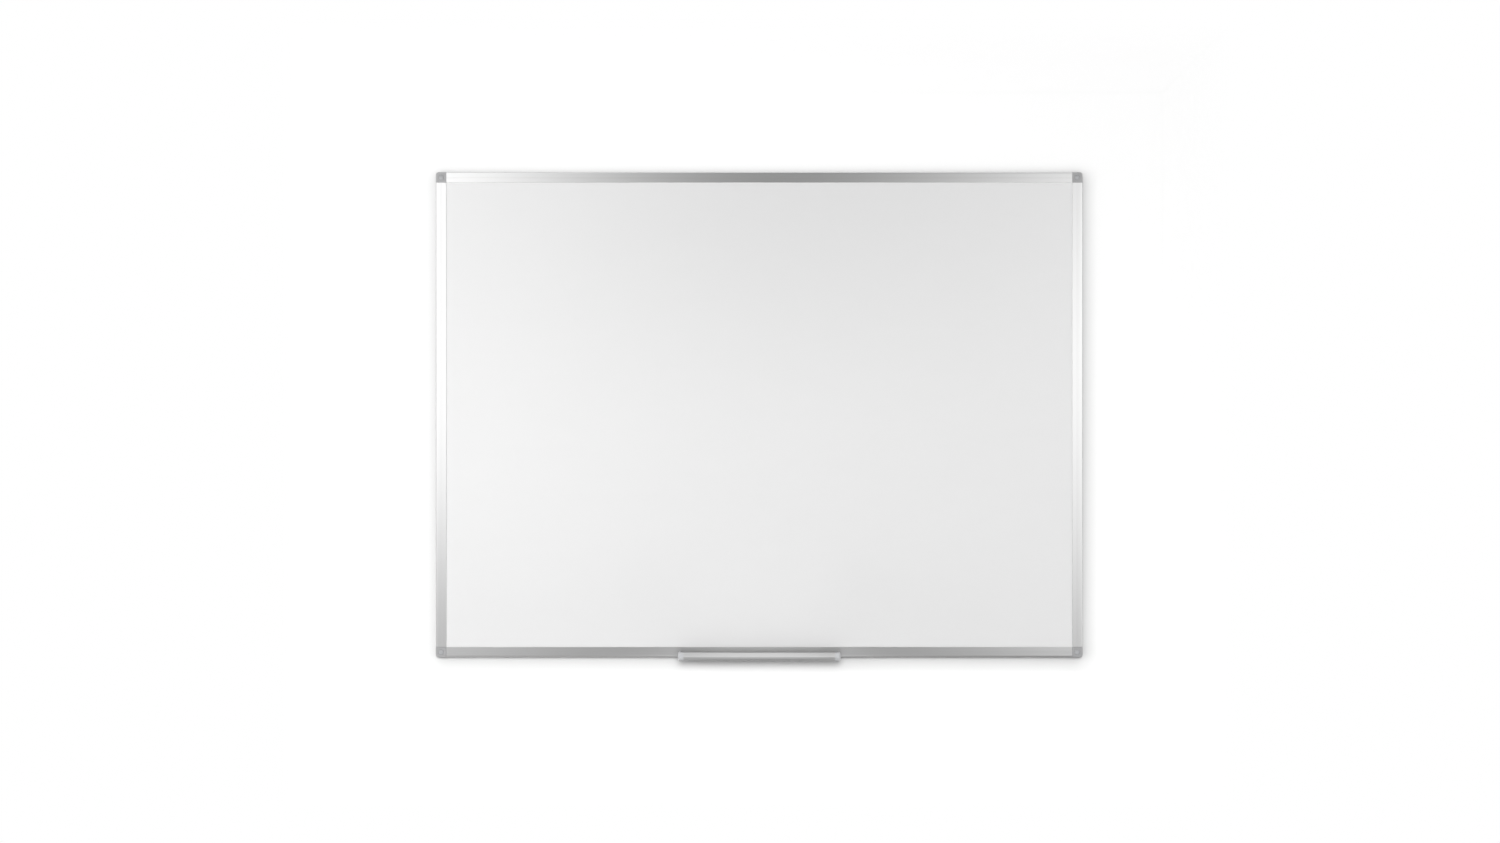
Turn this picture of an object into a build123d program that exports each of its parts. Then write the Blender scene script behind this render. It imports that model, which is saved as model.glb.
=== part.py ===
from build123d import *
import os
from math import atan2, cos, sqrt, tan

# Magnetic dry-wipe whiteboard in an aluminium frame, screwed to a wall at its four corners.
# Lengths are in millimetres. +X is to the right seen from the front, +Z is up and the front faces -Y.
# The origin is the centre of the four corner screw holes, on the wall plane y = 0.

# Whole board
board_width = 1200.0
board_height = 900.0

# Frame extrusion, the same on all four sides: u runs inward from the outer edge, v forward from the wall
rail_face = 19.0
rail_depth = 16.0
tube_width = 9.5
tube_wall = 1.4
rail_wall = 1.2
back_lip_recess = 3.2
front_edge_radius = 3.0
back_edge_radius = 0.8
lip_edge_radius = 0.4
groove_width = 0.8
groove_depth = 0.4

# Slot along the rail's outer edge, which carries the pen tray
slot_from_wall = 8.0
slot_opening = 4.0
slot_width = 8.0
slot_depth = 1.8
slot_wall = 1.0

# Writing panel, glued from three layers and held between the two lips of the rails
writing_sheet_thickness = 0.35
backing_sheet_thickness = 0.25
panel_face_play = 0.2
panel_edge_play = 0.5
panel_corner_cut = 10.0

# Corner blocks
block_proud = 0.4
block_corner_radius = 5.0
block_edge_radius = 1.2
arm_length = 35.0
arm_play = 0.15
arm_chamfer = 1.2
tongue_length = 12.0
tongue_play = 0.15

# Wall screw hole through each corner block, with the counterbore that the screw cap plugs
screw_hole_radius = 2.25
counterbore_radius = 4.1
counterbore_depth = 9.0
cap_recess_depth = 0.6

# Screw caps
cap_play = 0.1
cap_overlap = 0.6
cap_rim_rise = 0.2
cap_dome_rise = 0.6
cap_stem_length = 4.0
cap_stem_wall = 0.8

# Countersunk screws from behind, which hold each rail to the arm inside it
rail_screw_radius = 1.45
rail_screw_head_radius = 2.6
rail_screw_length = 9.0
rail_screw_inset = 20.0

# Features shared by all the countersunk screws
screw_sink = 0.05
screw_play = 0.05
cross_width = 0.55
cross_depth = 0.6
cross_length_share = 0.62

# Pen tray: d runs forward from the wall, h up from the underside of the bottom rail
tray_length = 300.0
tray_reach = 61.0
tray_wall = 1.4
tray_gap = 0.3
tray_dip = 1.8
tray_wall_gap = 2.0
tray_passing_gap = 0.4
lip_height = 11.0
lip_lean = 0.8
lip_bead_radius = 1.2
tray_front_radius = 8.0
step_run = 1.5
rib_count = 3
rib_width = 1.2
rib_height = 0.7
port_radius = 1.3
port_wall = 1.0

# Tray end caps
end_cap_length = 10.0
end_cap_wall = 4.0
end_cap_proud = 0.4
end_cap_round = 3.0
end_cap_top_round = 2.0
peg_length = 12.0
peg_play = 0.1

# Glides in the bottom rail's slot, which the tray hangs from
glide_from_end = 30.0
glide_length = 30.0
glide_play = 0.2
glide_lift = 0.15
glide_chamfer = 0.5
glide_screw_radius = 1.1
glide_screw_head_radius = 2.1
glide_screw_length = 4.0
glide_screw_spacing = 16.0

# One overrun for every cut that runs past a face
overrun = 2.0

# Rail
rail_length_across = board_width - 2 * rail_face
rail_length_up = board_height - 2 * rail_face
tube_inside = tube_width - rail_wall
slot_floor = rail_wall + slot_depth
chamber_start = slot_floor + slot_wall
channel_back = back_lip_recess + rail_wall
channel_front = rail_depth - rail_wall

# Panel
panel_edge = tube_width + panel_edge_play
panel_width = board_width - 2 * panel_edge
panel_height = board_height - 2 * panel_edge
panel_back = channel_back + panel_face_play
panel_front = channel_front - panel_face_play

# Corner block and cap
block_front = rail_depth + block_proud
block_middle = rail_face / 2
recess_floor = block_front - cap_recess_depth
cap_front = block_front + cap_rim_rise + cap_dome_rise
recess_radius = counterbore_radius + cap_overlap

# Tray, as (d, h)
floor_top_behind = -tray_gap
floor_under_behind = floor_top_behind - tray_wall
floor_top = floor_top_behind - tray_dip
floor_under = floor_top - tray_wall
trough_back = cap_front + tray_passing_gap
lip_angle = atan2(lip_lean, lip_height - floor_under)
bead_height = lip_height - lip_bead_radius
channel_length = tray_length - 2 * end_cap_length
rail_under = -board_height / 2
glide_offset = tray_length / 2 - glide_from_end


def polygon(*points):
    """Flat face inside a closed line through the points."""
    return make_face(Polyline(*points, close=True))


def rectangle(left, right, low, high):
    """Flat rectangle between two values of each coordinate."""
    return polygon((left, low), (right, low), (right, high), (left, high))


def rounded(face, *corners):
    """The face with each corner, given as a point and a radius, rounded."""
    for point, radius in corners:
        corner = face.vertices().sort_by_distance(point)[0]
        face = fillet(corner, radius)
    return face


def disc(centre, radius):
    """Flat disc about a centre."""
    return Pos(*centre) * Circle(radius)


def slab(outline, front, back):
    """Outline drawn in X and Z, made solid between two distances from the wall."""
    # The plane's own Y runs along +Z and its normal along -Y
    plane = Plane(origin=(0, -back, 0), x_dir=(1, 0, 0), z_dir=(0, -1, 0))
    return extrude(plane * outline, amount=front - back)


def rail_profile():
    """Section of the frame extrusion in u and v."""
    section = rectangle(0, tube_width, 0, rail_depth)
    section += rectangle(0, rail_face, channel_front, rail_depth)
    section += rectangle(0, rail_face, back_lip_recess, channel_back)
    section = rounded(
        section,
        ((0, rail_depth), front_edge_radius),
        ((0, 0), back_edge_radius),
        ((rail_face, rail_depth), lip_edge_radius),
    )
    chamber = rectangle(tube_wall, tube_inside, tube_wall, rail_depth - tube_wall)
    chamber = rounded(
        chamber, ((tube_wall, rail_depth - tube_wall), front_edge_radius - tube_wall)
    )
    chamber -= rectangle(
        0,
        chamber_start,
        slot_from_wall - slot_width / 2 - slot_wall,
        slot_from_wall + slot_width / 2 + slot_wall,
    )
    slot = rectangle(
        rail_wall, slot_floor, slot_from_wall - slot_width / 2, slot_from_wall + slot_width / 2
    )
    slot += rectangle(
        -overrun, slot_floor, slot_from_wall - slot_opening / 2, slot_from_wall + slot_opening / 2
    )
    groove = rectangle(
        rail_face / 2 - groove_width / 2,
        rail_face / 2 + groove_width / 2,
        rail_depth - groove_depth,
        rail_depth + overrun,
    )
    return section - chamber - slot - groove


# Middle of the arm inside a rail, as u, and the arm's size across u and along v
arm_low = chamber_start + arm_play
arm_high = tube_inside - arm_play
arm_middle = (arm_low + arm_high) / 2
arm_back = tube_wall + arm_play
arm_front = rail_depth - tube_wall - arm_play


def countersunk_screw(radius, head_radius, length):
    """Screw along +Z from the top of its head at z = 0, with a cross recess and a pointed tip."""
    head_height = head_radius - radius
    tip_height = radius
    half = polygon(
        (0, 0),
        (head_radius, 0),
        (radius, head_height),
        (radius, length - tip_height),
        (0, length),
    )
    screw = revolve(Plane.XZ * half, axis=Axis.Z)
    arm = 2 * head_radius * cross_length_share
    cross = Box(arm, cross_width, 2 * cross_depth) + Box(cross_width, arm, 2 * cross_depth)
    return screw - cross


def countersunk_hole(radius, head_radius, length):
    """Room for such a screw, wider than it by the screw play and open above its head."""
    wide = head_radius + screw_play
    narrow = radius + screw_play
    half = polygon(
        (0, -overrun),
        (wide, -overrun),
        (wide, 0),
        (narrow, wide - narrow),
        (narrow, length + screw_play),
        (0, length + screw_play),
    )
    return revolve(Plane.XZ * half, axis=Axis.Z)


def rail_screw_places(length):
    """Distances along a rail of the given length of its two screws, from its middle."""
    return (-length / 2 + rail_screw_inset, length / 2 - rail_screw_inset)


def side_plane(side):
    """Plane across a rail at its middle: its X is u, its Y is v and its normal runs along the rail."""
    across = board_width / 2
    up = board_height / 2
    origin, inward, along = {
        "bottom": ((0, 0, -up), (0, 0, 1), (1, 0, 0)),
        "top": ((0, 0, up), (0, 0, -1), (-1, 0, 0)),
        "left": ((-across, 0, 0), (1, 0, 0), (0, 0, -1)),
        "right": ((across, 0, 0), (-1, 0, 0), (0, 0, 1)),
    }[side]
    return Plane(origin=origin, x_dir=inward, z_dir=along)


def side_length(side):
    """Length of the rail on one side."""
    return rail_length_across if side in ("top", "bottom") else rail_length_up


def behind_rail(side, along, shape, sink=0.0):
    """A screw or hole placed on the back of a rail, on its arm's middle line, pointing forward."""
    plane = side_plane(side)
    place = plane.from_local_coords((arm_middle, sink, along))
    return Plane(origin=place, x_dir=plane.z_dir, z_dir=(0, -1, 0)) * shape


def rail(side):
    """One rail, cut square at both ends, with its two screw holes."""
    length = side_length(side)
    plane = side_plane(side)
    start = Plane(
        origin=plane.from_local_coords((0, 0, -length / 2)), x_dir=plane.x_dir, z_dir=plane.z_dir
    )
    body = extrude(start * rail_profile(), amount=length)
    hole = countersunk_hole(rail_screw_radius, rail_screw_head_radius, tube_wall + overrun)
    for along in rail_screw_places(length):
        body -= behind_rail(side, along, hole, screw_sink)
    return body


def rail_screws():
    """The eight screws that hold the rails to the arms of the corner blocks."""
    screw = countersunk_screw(rail_screw_radius, rail_screw_head_radius, rail_screw_length)
    return [
        behind_rail(side, along, screw, screw_sink)
        for side in ("top", "bottom", "left", "right")
        for along in rail_screw_places(side_length(side))
    ]


def panel_layer(back, front):
    """One layer of the panel, with its four corners cut off."""
    half_width = panel_width / 2
    half_height = panel_height / 2
    points = [
        (half_width, half_height - panel_corner_cut),
        (half_width - panel_corner_cut, half_height),
        (-half_width + panel_corner_cut, half_height),
        (-half_width, half_height - panel_corner_cut),
        (-half_width, -half_height + panel_corner_cut),
        (-half_width + panel_corner_cut, -half_height),
        (half_width - panel_corner_cut, -half_height),
        (half_width, -half_height + panel_corner_cut),
    ]
    return slab(polygon(*points), front, back)


def block_arm():
    """Arm and slot tongue that reach along +X into a rail from a block whose corner is the origin."""
    arm = slab(
        rectangle(rail_face, rail_face + arm_length, arm_low, arm_high), arm_front, arm_back
    )
    arm = chamfer(arm.faces().sort_by(Axis.X)[-1].edges(), arm_chamfer)
    tongue = slab(
        rectangle(
            rail_face, rail_face + tongue_length, rail_wall + tongue_play, slot_floor - tongue_play
        ),
        slot_from_wall + slot_width / 2 - tongue_play,
        slot_from_wall - slot_width / 2 + tongue_play,
    )
    return [arm, tongue]


def corner_block():
    """Block of the lower left corner, with the board's outer corner at the origin."""
    body = slab(rectangle(0, rail_face, 0, rail_face), block_front, 0)
    outer = body.edges().filter_by(Axis.Y).sort_by_distance((0, 0, 0))[0]
    body = fillet(outer, block_corner_radius)
    body = fillet(body.faces().sort_by(Axis.Y)[0].edges(), block_edge_radius)
    pocket_line = 2 * panel_edge + panel_corner_cut - panel_edge_play * sqrt(2)
    far = rail_face + overrun
    pocket = polygon((pocket_line - far, far), (far, pocket_line - far), (far, far))
    body -= slab(pocket, channel_front, channel_back)
    middle = (block_middle, block_middle)
    body -= slab(disc(middle, screw_hole_radius), block_front, -overrun)
    body -= slab(
        disc(middle, counterbore_radius), block_front + overrun, block_front - counterbore_depth
    )
    body -= slab(disc(middle, recess_radius), block_front + overrun, recess_floor)
    for limb in block_arm():
        body += limb
        # The second rail meets the block along the other side of its diagonal
        body += mirror(limb, about=Plane(origin=(0, 0, 0), z_dir=(1, 0, -1)))
    return body


def corner_copies(shape):
    """The shape of the lower left corner carried to all four corners, by corner name."""
    lower_left = Pos(-board_width / 2, 0, -board_height / 2) * shape
    lower_right = mirror(lower_left, about=Plane.YZ)
    return {
        "bottom_left": lower_left,
        "bottom_right": lower_right,
        "top_left": mirror(lower_left, about=Plane.XY),
        "top_right": mirror(lower_right, about=Plane.XY),
    }


def drilled_blocks():
    """The four corner blocks, with the holes of the screws that come through the rails."""
    blocks = corner_copies(corner_block())
    hole = countersunk_hole(rail_screw_radius, rail_screw_head_radius, rail_screw_length)
    for side in ("top", "bottom", "left", "right"):
        for along in rail_screw_places(side_length(side)):
            cut = behind_rail(side, along, hole, screw_sink)
            centre = cut.center()
            row = "top" if centre.Z > 0 else "bottom"
            column = "right" if centre.X > 0 else "left"
            blocks[f"{row}_{column}"] -= cut
    return blocks


def screw_cap():
    """Domed plug of the lower left corner, on the same origin as its block."""
    head_radius = recess_radius - cap_play
    stem_radius = counterbore_radius - cap_play
    top = cap_recess_depth + cap_rim_rise + cap_dome_rise
    # Radius of the sphere whose cap is as wide as the head and as high as the dome
    dome_radius = (head_radius**2 + cap_dome_rise**2) / (2 * cap_dome_rise)
    head = Cylinder(head_radius, top, align=(Align.CENTER, Align.CENTER, Align.MIN))
    head &= Pos(0, 0, top - dome_radius) * Sphere(dome_radius)
    stem = Cylinder(stem_radius, cap_stem_length, align=(Align.CENTER, Align.CENTER, Align.MAX))
    stem -= Cylinder(
        stem_radius - cap_stem_wall,
        cap_stem_length,
        align=(Align.CENTER, Align.CENTER, Align.MAX),
    )
    seat = Plane(origin=(block_middle, -recess_floor, block_middle), z_dir=(0, -1, 0))
    return seat * (head + stem)


def lip_outer(height):
    """Distance from the wall of the lip's outer face at a height."""
    return tray_reach - (lip_height - height) * tan(lip_angle)


def lip_inner(height):
    """Distance from the wall of the lip's inner face at a height."""
    return lip_outer(height) - tray_wall / cos(lip_angle)


def tray_strip():
    """Floor, step and lip of the tray as one strip of even thickness."""
    section = polygon(
        (tray_wall_gap, floor_under_behind),
        (trough_back - tray_wall, floor_under_behind),
        (trough_back - tray_wall + step_run, floor_under),
        (lip_outer(floor_under), floor_under),
        (lip_outer(bead_height), bead_height),
        (lip_inner(bead_height), bead_height),
        (lip_inner(floor_top), floor_top),
        (trough_back + step_run, floor_top),
        (trough_back, floor_top_behind),
        (tray_wall_gap, floor_top_behind),
    )
    return rounded(
        section,
        ((lip_outer(floor_under), floor_under), tray_front_radius),
        ((lip_inner(floor_top), floor_top), tray_front_radius - tray_wall),
    )


def port_centres():
    """Centres of the two round ports in the tray's section, which take the end caps' pegs."""
    height = floor_under + port_radius + port_wall
    front = lip_outer(floor_under) - tray_front_radius
    return (front, height), (trough_back + port_radius + port_wall, height)


def channel_section():
    """Section of the tray's aluminium channel."""
    bead_middle = lip_outer(bead_height) - lip_bead_radius / cos(lip_angle)
    section = tray_strip() + disc((bead_middle, bead_height), lip_bead_radius)
    for centre in port_centres():
        section += disc(centre, port_radius + port_wall)
    for centre in port_centres():
        section -= disc(centre, port_radius)
    front, back = (centre[0] for centre in port_centres())
    for index in range(rib_count):
        place = back + (front - back) * (index + 1) / (rib_count + 1)
        section += rectangle(
            place - rib_width / 2, place + rib_width / 2, floor_under, floor_top + rib_height
        )
    return section


def along_tray(section, start, end):
    """Tray section, drawn in d and h, made solid between two places along X."""
    plane = Plane(origin=(end, 0, rail_under), x_dir=(0, -1, 0), z_dir=(-1, 0, 0))
    return extrude(plane * section, amount=end - start)


def glide_screw_places():
    """X places of the glide screws on the right-hand half of the tray."""
    return (glide_offset - glide_screw_spacing / 2, glide_offset + glide_screw_spacing / 2)


def under_tray(along, shape):
    """A screw or hole placed under the tray's floor, below the slot, pointing up."""
    place = (along, -slot_from_wall, rail_under + floor_under_behind + screw_sink)
    return Plane(origin=place, x_dir=(1, 0, 0), z_dir=(0, 0, 1)) * shape


def glide_screw_holes(body):
    """The body with the holes of all the glide screws cut into it."""
    hole = countersunk_hole(glide_screw_radius, glide_screw_head_radius, glide_screw_length)
    for place in glide_screw_places():
        for along in (-place, place):
            body -= under_tray(along, hole)
    return body


def tray_channel():
    """The tray's extruded aluminium channel."""
    body = along_tray(channel_section(), -channel_length / 2, channel_length / 2)
    return glide_screw_holes(body)


def tray_end_cap():
    """Moulded cap on the tray's right-hand end, with two pegs that push into the channel's ports."""
    start = channel_length / 2
    end = start + end_cap_length
    top = lip_height + end_cap_proud
    low = floor_under - end_cap_proud
    front_low = lip_outer(low) + end_cap_proud
    front_top = lip_outer(top) + end_cap_proud
    outline = polygon(
        (tray_wall_gap, floor_under_behind - end_cap_proud),
        (trough_back - tray_wall, floor_under_behind - end_cap_proud),
        (trough_back - tray_wall + step_run, low),
        (front_low, low),
        (front_top, top),
        (trough_back, top),
        (trough_back, floor_top_behind),
        (tray_wall_gap, floor_top_behind),
    )
    outline = rounded(
        outline,
        ((front_low, low), tray_front_radius + end_cap_proud),
        ((front_top, top), end_cap_top_round),
        ((trough_back, top), end_cap_top_round),
    )
    body = along_tray(outline, start, end)
    cavity = polygon(
        (trough_back - overrun, floor_top_behind),
        (trough_back, floor_top_behind),
        (trough_back + step_run, floor_top),
        (lip_inner(floor_top), floor_top),
        (lip_inner(top + overrun), top + overrun),
        (trough_back - overrun, top + overrun),
    )
    cavity = rounded(cavity, ((lip_inner(floor_top), floor_top), tray_front_radius - tray_wall))
    body -= along_tray(cavity, start - overrun, end - end_cap_wall)
    # The outer end is rounded along the front, the bottom and the top of the trough's wall
    end_face = body.faces().sort_by(Axis.X)[-1]
    middle_depth = (trough_back + tray_reach) / 2
    rim = [
        edge
        for edge in end_face.edges()
        if -edge.center().Y > middle_depth or edge.center().Z > rail_under + lip_height
    ]
    body = fillet(rim, end_cap_round)
    for centre in port_centres():
        body += along_tray(disc(centre, port_radius - peg_play), start - peg_length, end - end_cap_wall)
    return body


def glide():
    """Plastic glide on the right-hand half of the tray, its head in the slot and its neck on the floor."""
    start = glide_offset - glide_length / 2
    end = glide_offset + glide_length / 2
    head = rectangle(
        slot_from_wall - slot_width / 2 + glide_play,
        slot_from_wall + slot_width / 2 - glide_play,
        rail_wall + glide_lift,
        slot_floor - glide_lift,
    )
    neck = rectangle(
        slot_from_wall - slot_opening / 2 + glide_play,
        slot_from_wall + slot_opening / 2 - glide_play,
        floor_top_behind,
        rail_wall + glide_lift,
    )
    body = along_tray(head + neck, start, end)
    ends = body.faces().sort_by(Axis.X)
    upright = ends[0].edges().filter_by(Axis.Z) + ends[-1].edges().filter_by(Axis.Z)
    body = chamfer(upright, glide_chamfer)
    return glide_screw_holes(body)


def glide_screws():
    """The screws that hold both glides on the tray's floor."""
    screw = countersunk_screw(glide_screw_radius, glide_screw_head_radius, glide_screw_length)
    return [
        under_tray(along, screw)
        for place in glide_screw_places()
        for along in (-place, place)
    ]


def all_pieces():
    """Every node's solid or solids, by node name."""
    pieces = {
        "writing_sheet": panel_layer(panel_front - writing_sheet_thickness, panel_front),
        "core_board": panel_layer(
            panel_back + backing_sheet_thickness, panel_front - writing_sheet_thickness
        ),
        "backing_sheet": panel_layer(panel_back, panel_back + backing_sheet_thickness),
        "rail_screws": rail_screws(),
        "tray_channel": tray_channel(),
        "tray_end_cap_right": tray_end_cap(),
        "tray_glide_right": glide(),
        "tray_glide_screws": glide_screws(),
    }
    for side in ("top", "bottom", "left", "right"):
        pieces[f"rail_{side}"] = rail(side)
    for corner, block in drilled_blocks().items():
        pieces[f"corner_block_{corner}"] = block
    for corner, cap in corner_copies(screw_cap()).items():
        pieces[f"screw_cap_{corner}"] = cap
    for name in ("tray_end_cap", "tray_glide"):
        pieces[f"{name}_left"] = mirror(pieces[f"{name}_right"], about=Plane.YZ)
    return pieces


def main():
    """Write one STEP file for each node."""
    os.makedirs("parts", exist_ok=True)
    for name, piece in all_pieces().items():
        solids = piece if isinstance(piece, list) else piece.solids()
        whole = Compound(children=[solid for part in solids for solid in part.solids()])
        export_step(whole, f"parts/{name}.step")


main()
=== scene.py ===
"""Looks of a wall-mounted magnetic dry-wipe board: white steel face, aluminium frame, sliding pen tray.

Every sub-assembly is a class that keeps its sizes in millimetres, takes its place from the boxes of the CAD
parts and builds its own meshes. The origin is the centre of the four corner screw holes, on the wall
plane; the board faces -Y.
"""

import logging
from collections.abc import Iterable, Sequence
from dataclasses import dataclass
from enum import Enum
from math import asin, atan2, cos, pi, radians, sin, sqrt, tan, tau

import bmesh
import bpy
from bmesh.types import BMEdge, BMesh, BMFace, BMVert
from bpy.types import ID, Material, Node, NodeSocket, NodeTree, Object
from mathutils import Matrix, Vector


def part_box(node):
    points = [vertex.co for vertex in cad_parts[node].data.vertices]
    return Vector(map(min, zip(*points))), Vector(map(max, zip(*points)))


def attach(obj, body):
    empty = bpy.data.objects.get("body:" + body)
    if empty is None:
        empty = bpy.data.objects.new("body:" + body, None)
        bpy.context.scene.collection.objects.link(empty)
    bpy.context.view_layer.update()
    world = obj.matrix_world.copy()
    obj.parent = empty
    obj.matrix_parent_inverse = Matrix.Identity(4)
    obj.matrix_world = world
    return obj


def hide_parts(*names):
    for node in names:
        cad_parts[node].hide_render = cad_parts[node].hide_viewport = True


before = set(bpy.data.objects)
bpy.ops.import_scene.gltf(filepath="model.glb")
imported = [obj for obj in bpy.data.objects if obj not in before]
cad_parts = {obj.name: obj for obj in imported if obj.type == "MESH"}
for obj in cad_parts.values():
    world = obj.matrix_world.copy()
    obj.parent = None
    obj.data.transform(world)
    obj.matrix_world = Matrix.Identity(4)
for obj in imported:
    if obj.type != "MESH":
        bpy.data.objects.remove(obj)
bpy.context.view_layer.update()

log = logging.getLogger("whiteboard")

MM = 0.001
SMOOTH_ANGLE = radians(40)
PARALLEL = 0.999  # cosine past which two directions count as one
TOUCH = 1e-4  # millimetres within which two points count as one
HOLE_MARGIN = 0.4  # millimetres of a face that are meshed anew round a hole
SCREW_SEGMENTS = 32
COUNTERSINK_SHARE = 0.9  # of a wall's thickness, at most
X_AXIS, Y_AXIS, Z_AXIS = (Vector(axis) for axis in ((1, 0, 0), (0, 1, 0), (0, 0, 1)))
FORWARD = Vector((0, -1, 0))
CORNERS = ("top_left", "top_right", "bottom_left", "bottom_right")
# The colour sockets of a Mix node share their names with its other sockets, so they go by number
MIX_COLOURS, MIXED_COLOUR = (6, 7), 2


# Small helpers for colours, nodes and meshes


def linear(hex_colour: str) -> tuple[float, float, float, float]:
    """Turn an sRGB hex colour into linear RGBA.

    Args:
        hex_colour: Six hex digits with a leading hash.

    Returns:
        Red, green, blue and a full alpha.
    """
    parts = [int(hex_colour[start : start + 2], 16) / 255 for start in (1, 3, 5)]
    red, green, blue = (p / 12.92 if p <= 0.04045 else ((p + 0.055) / 1.055) ** 2.4 for p in parts)
    return red, green, blue, 1.0


def new_material(name: str) -> Material:
    """Make a material that has no nodes yet.

    Args:
        name: Its name.

    Returns:
        The material.
    """
    made = bpy.data.materials.new(name)
    made.use_nodes = True
    made.node_tree.nodes.clear()
    return made


def add_node(tree: NodeTree, kind: str, inputs: dict | None = None, **settings) -> Node:
    """Add one node with its settings, values and links.

    Args:
        tree: Node tree that gets the node.
        kind: Blender's name of the node's type, without the ShaderNode in front.
        inputs: Socket name or number to a value, to the output that feeds it, or to the node whose first
            output does.
        **settings: Attributes of the node.

    Returns:
        The new node.
    """
    node = tree.nodes.new(f"ShaderNode{kind}")
    for key, value in settings.items():
        setattr(node, key, value)
    for key, value in (inputs or {}).items():
        if isinstance(value, Node):
            value = value.outputs[0]
        if isinstance(value, NodeSocket):
            tree.links.new(value, node.inputs[key])
        else:
            node.inputs[key].default_value = value
    return node


def box_in_mm(node: str) -> tuple[Vector, Vector]:
    """Lowest and highest corners of a CAD node, in millimetres."""
    low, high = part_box(node)
    return low / MM, high / MM


def around(middle: float, width: float) -> tuple[float, float]:
    """Low and high end of a width about its middle."""
    return middle - width / 2, middle + width / 2


def axes_matrix(first: Vector, second: Vector, third: Vector, origin: Vector) -> Matrix:
    """Placement whose own X, Y and Z run along three directions of the row frame.

    Args:
        first: Where the local X runs.
        second: Where the local Y runs.
        third: Where the local Z runs.
        origin: Where the local origin lies, in millimetres.

    Returns:
        A 4 x 4 matrix.
    """
    matrix = Matrix((first, second, third)).transposed().to_4x4()
    matrix.translation = origin
    return matrix


def of_kind(geom: Iterable, kind: type) -> list:
    """Items of one kind in what an operator gives back."""
    return [item for item in geom if isinstance(item, kind)]


def vert_at(verts: Iterable[BMVert], point: Vector) -> BMVert:
    """The vertex at a point."""
    return next(vert for vert in verts if (vert.co - point).length < TOUCH)


def edges_among(bm: BMesh, verts: Iterable[BMVert]) -> list[BMEdge]:
    """The edges that join some vertices to each other."""
    chosen = set(verts)
    return [edge for edge in bm.edges if chosen.issuperset(edge.verts)]


def edges_at(bm: BMesh, height: float) -> list[BMEdge]:
    """The edges that lie level at a height."""
    return edges_among(bm, [vert for vert in bm.verts if abs(vert.co.z - height) < TOUCH])


def bevel(bm: BMesh, geom: Sequence[BMVert | BMEdge], size: float, segments: int) -> None:
    """Round or chamfer some corners of a flat outline, or some edges of a solid.

    Args:
        bm: Mesh that holds them.
        geom: The corners' vertices, or the edges.
        size: Distance from the corner or edge at which the rounding starts.
        segments: Straight pieces in it.
    """
    bmesh.ops.bevel(
        bm,
        geom=geom,
        offset=size,
        offset_type="OFFSET",
        segments=segments,
        profile=0.5,
        affect="EDGES" if isinstance(geom[0], BMEdge) else "VERTICES",
        material=-1,
    )


class Pen:
    """Draws one outline in the XY plane of an empty mesh, corner by corner and arc by arc."""

    def __init__(self, bm: BMesh) -> None:
        """Start an outline.

        Args:
            bm: Mesh that the outline is drawn in.
        """
        self.bm = bm
        self.first: BMVert | None = None
        self.last: BMVert | None = None
        self.rounds: list[tuple[BMVert, float]] = []

    def corner(self, x: float, y: float, radius: float = 0.0) -> BMVert:
        """Draw a straight line to a corner.

        Args:
            x: Place of the corner.
            y: Place of the corner.
            radius: Distance from the corner at which its rounding starts, or zero for a sharp corner.

        Returns:
            The corner's vertex.
        """
        if self.last is None:
            self.last = self.first = self.bm.verts.new((x, y, 0))
        else:
            self.last = bmesh.ops.extrude_vert_indiv(self.bm, verts=[self.last])["verts"][0]
            self.last.co = (x, y, 0)
        if radius:
            self.rounds.append((self.last, radius))
        return self.last

    def corners(self, *places: tuple[float, ...]) -> None:
        """Draw straight lines through a row of corners, each given as corner() takes it."""
        for place in places:
            self.corner(*place)

    def arc(self, centre: tuple[float, float], angle: float, steps: int) -> None:
        """Draw an arc on from the last point.

        Args:
            centre: Centre of the arc.
            angle: Turn in radians, anticlockwise where it is positive.
            steps: Number of straight pieces.
        """
        turned = bmesh.ops.spin(
            self.bm, geom=[self.last], cent=(*centre, 0), axis=Z_AXIS, angle=angle, steps=steps
        )
        self.last = of_kind(turned["geom_last"], BMVert)[0]

    def close(self, segments: int = 8, easing: float = 0.0, easing_segments: int = 3) -> BMFace:
        """Join the last point to the first, fill the outline and round its corners.

        Args:
            segments: Straight pieces in each corner that has a radius.
            easing: Width of the easing of every other corner, or zero for none.
            easing_segments: Straight pieces in the easing.

        Returns:
            The filled outline.
        """
        self.bm.edges.new((self.last, self.first))
        bmesh.ops.edgeloop_fill(self.bm, edges=self.bm.edges)
        for radius in sorted({size for _, size in self.rounds}, reverse=True):
            bevel(self.bm, [vert for vert, size in self.rounds if size == radius], radius, segments)
        if easing:
            loops = next(iter(self.bm.faces)).loops
            sharp = [loop.vert for loop in loops if pi - loop.calc_angle() > SMOOTH_ANGLE]
            bevel(self.bm, sharp, easing, easing_segments)
        return next(iter(self.bm.faces))


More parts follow.
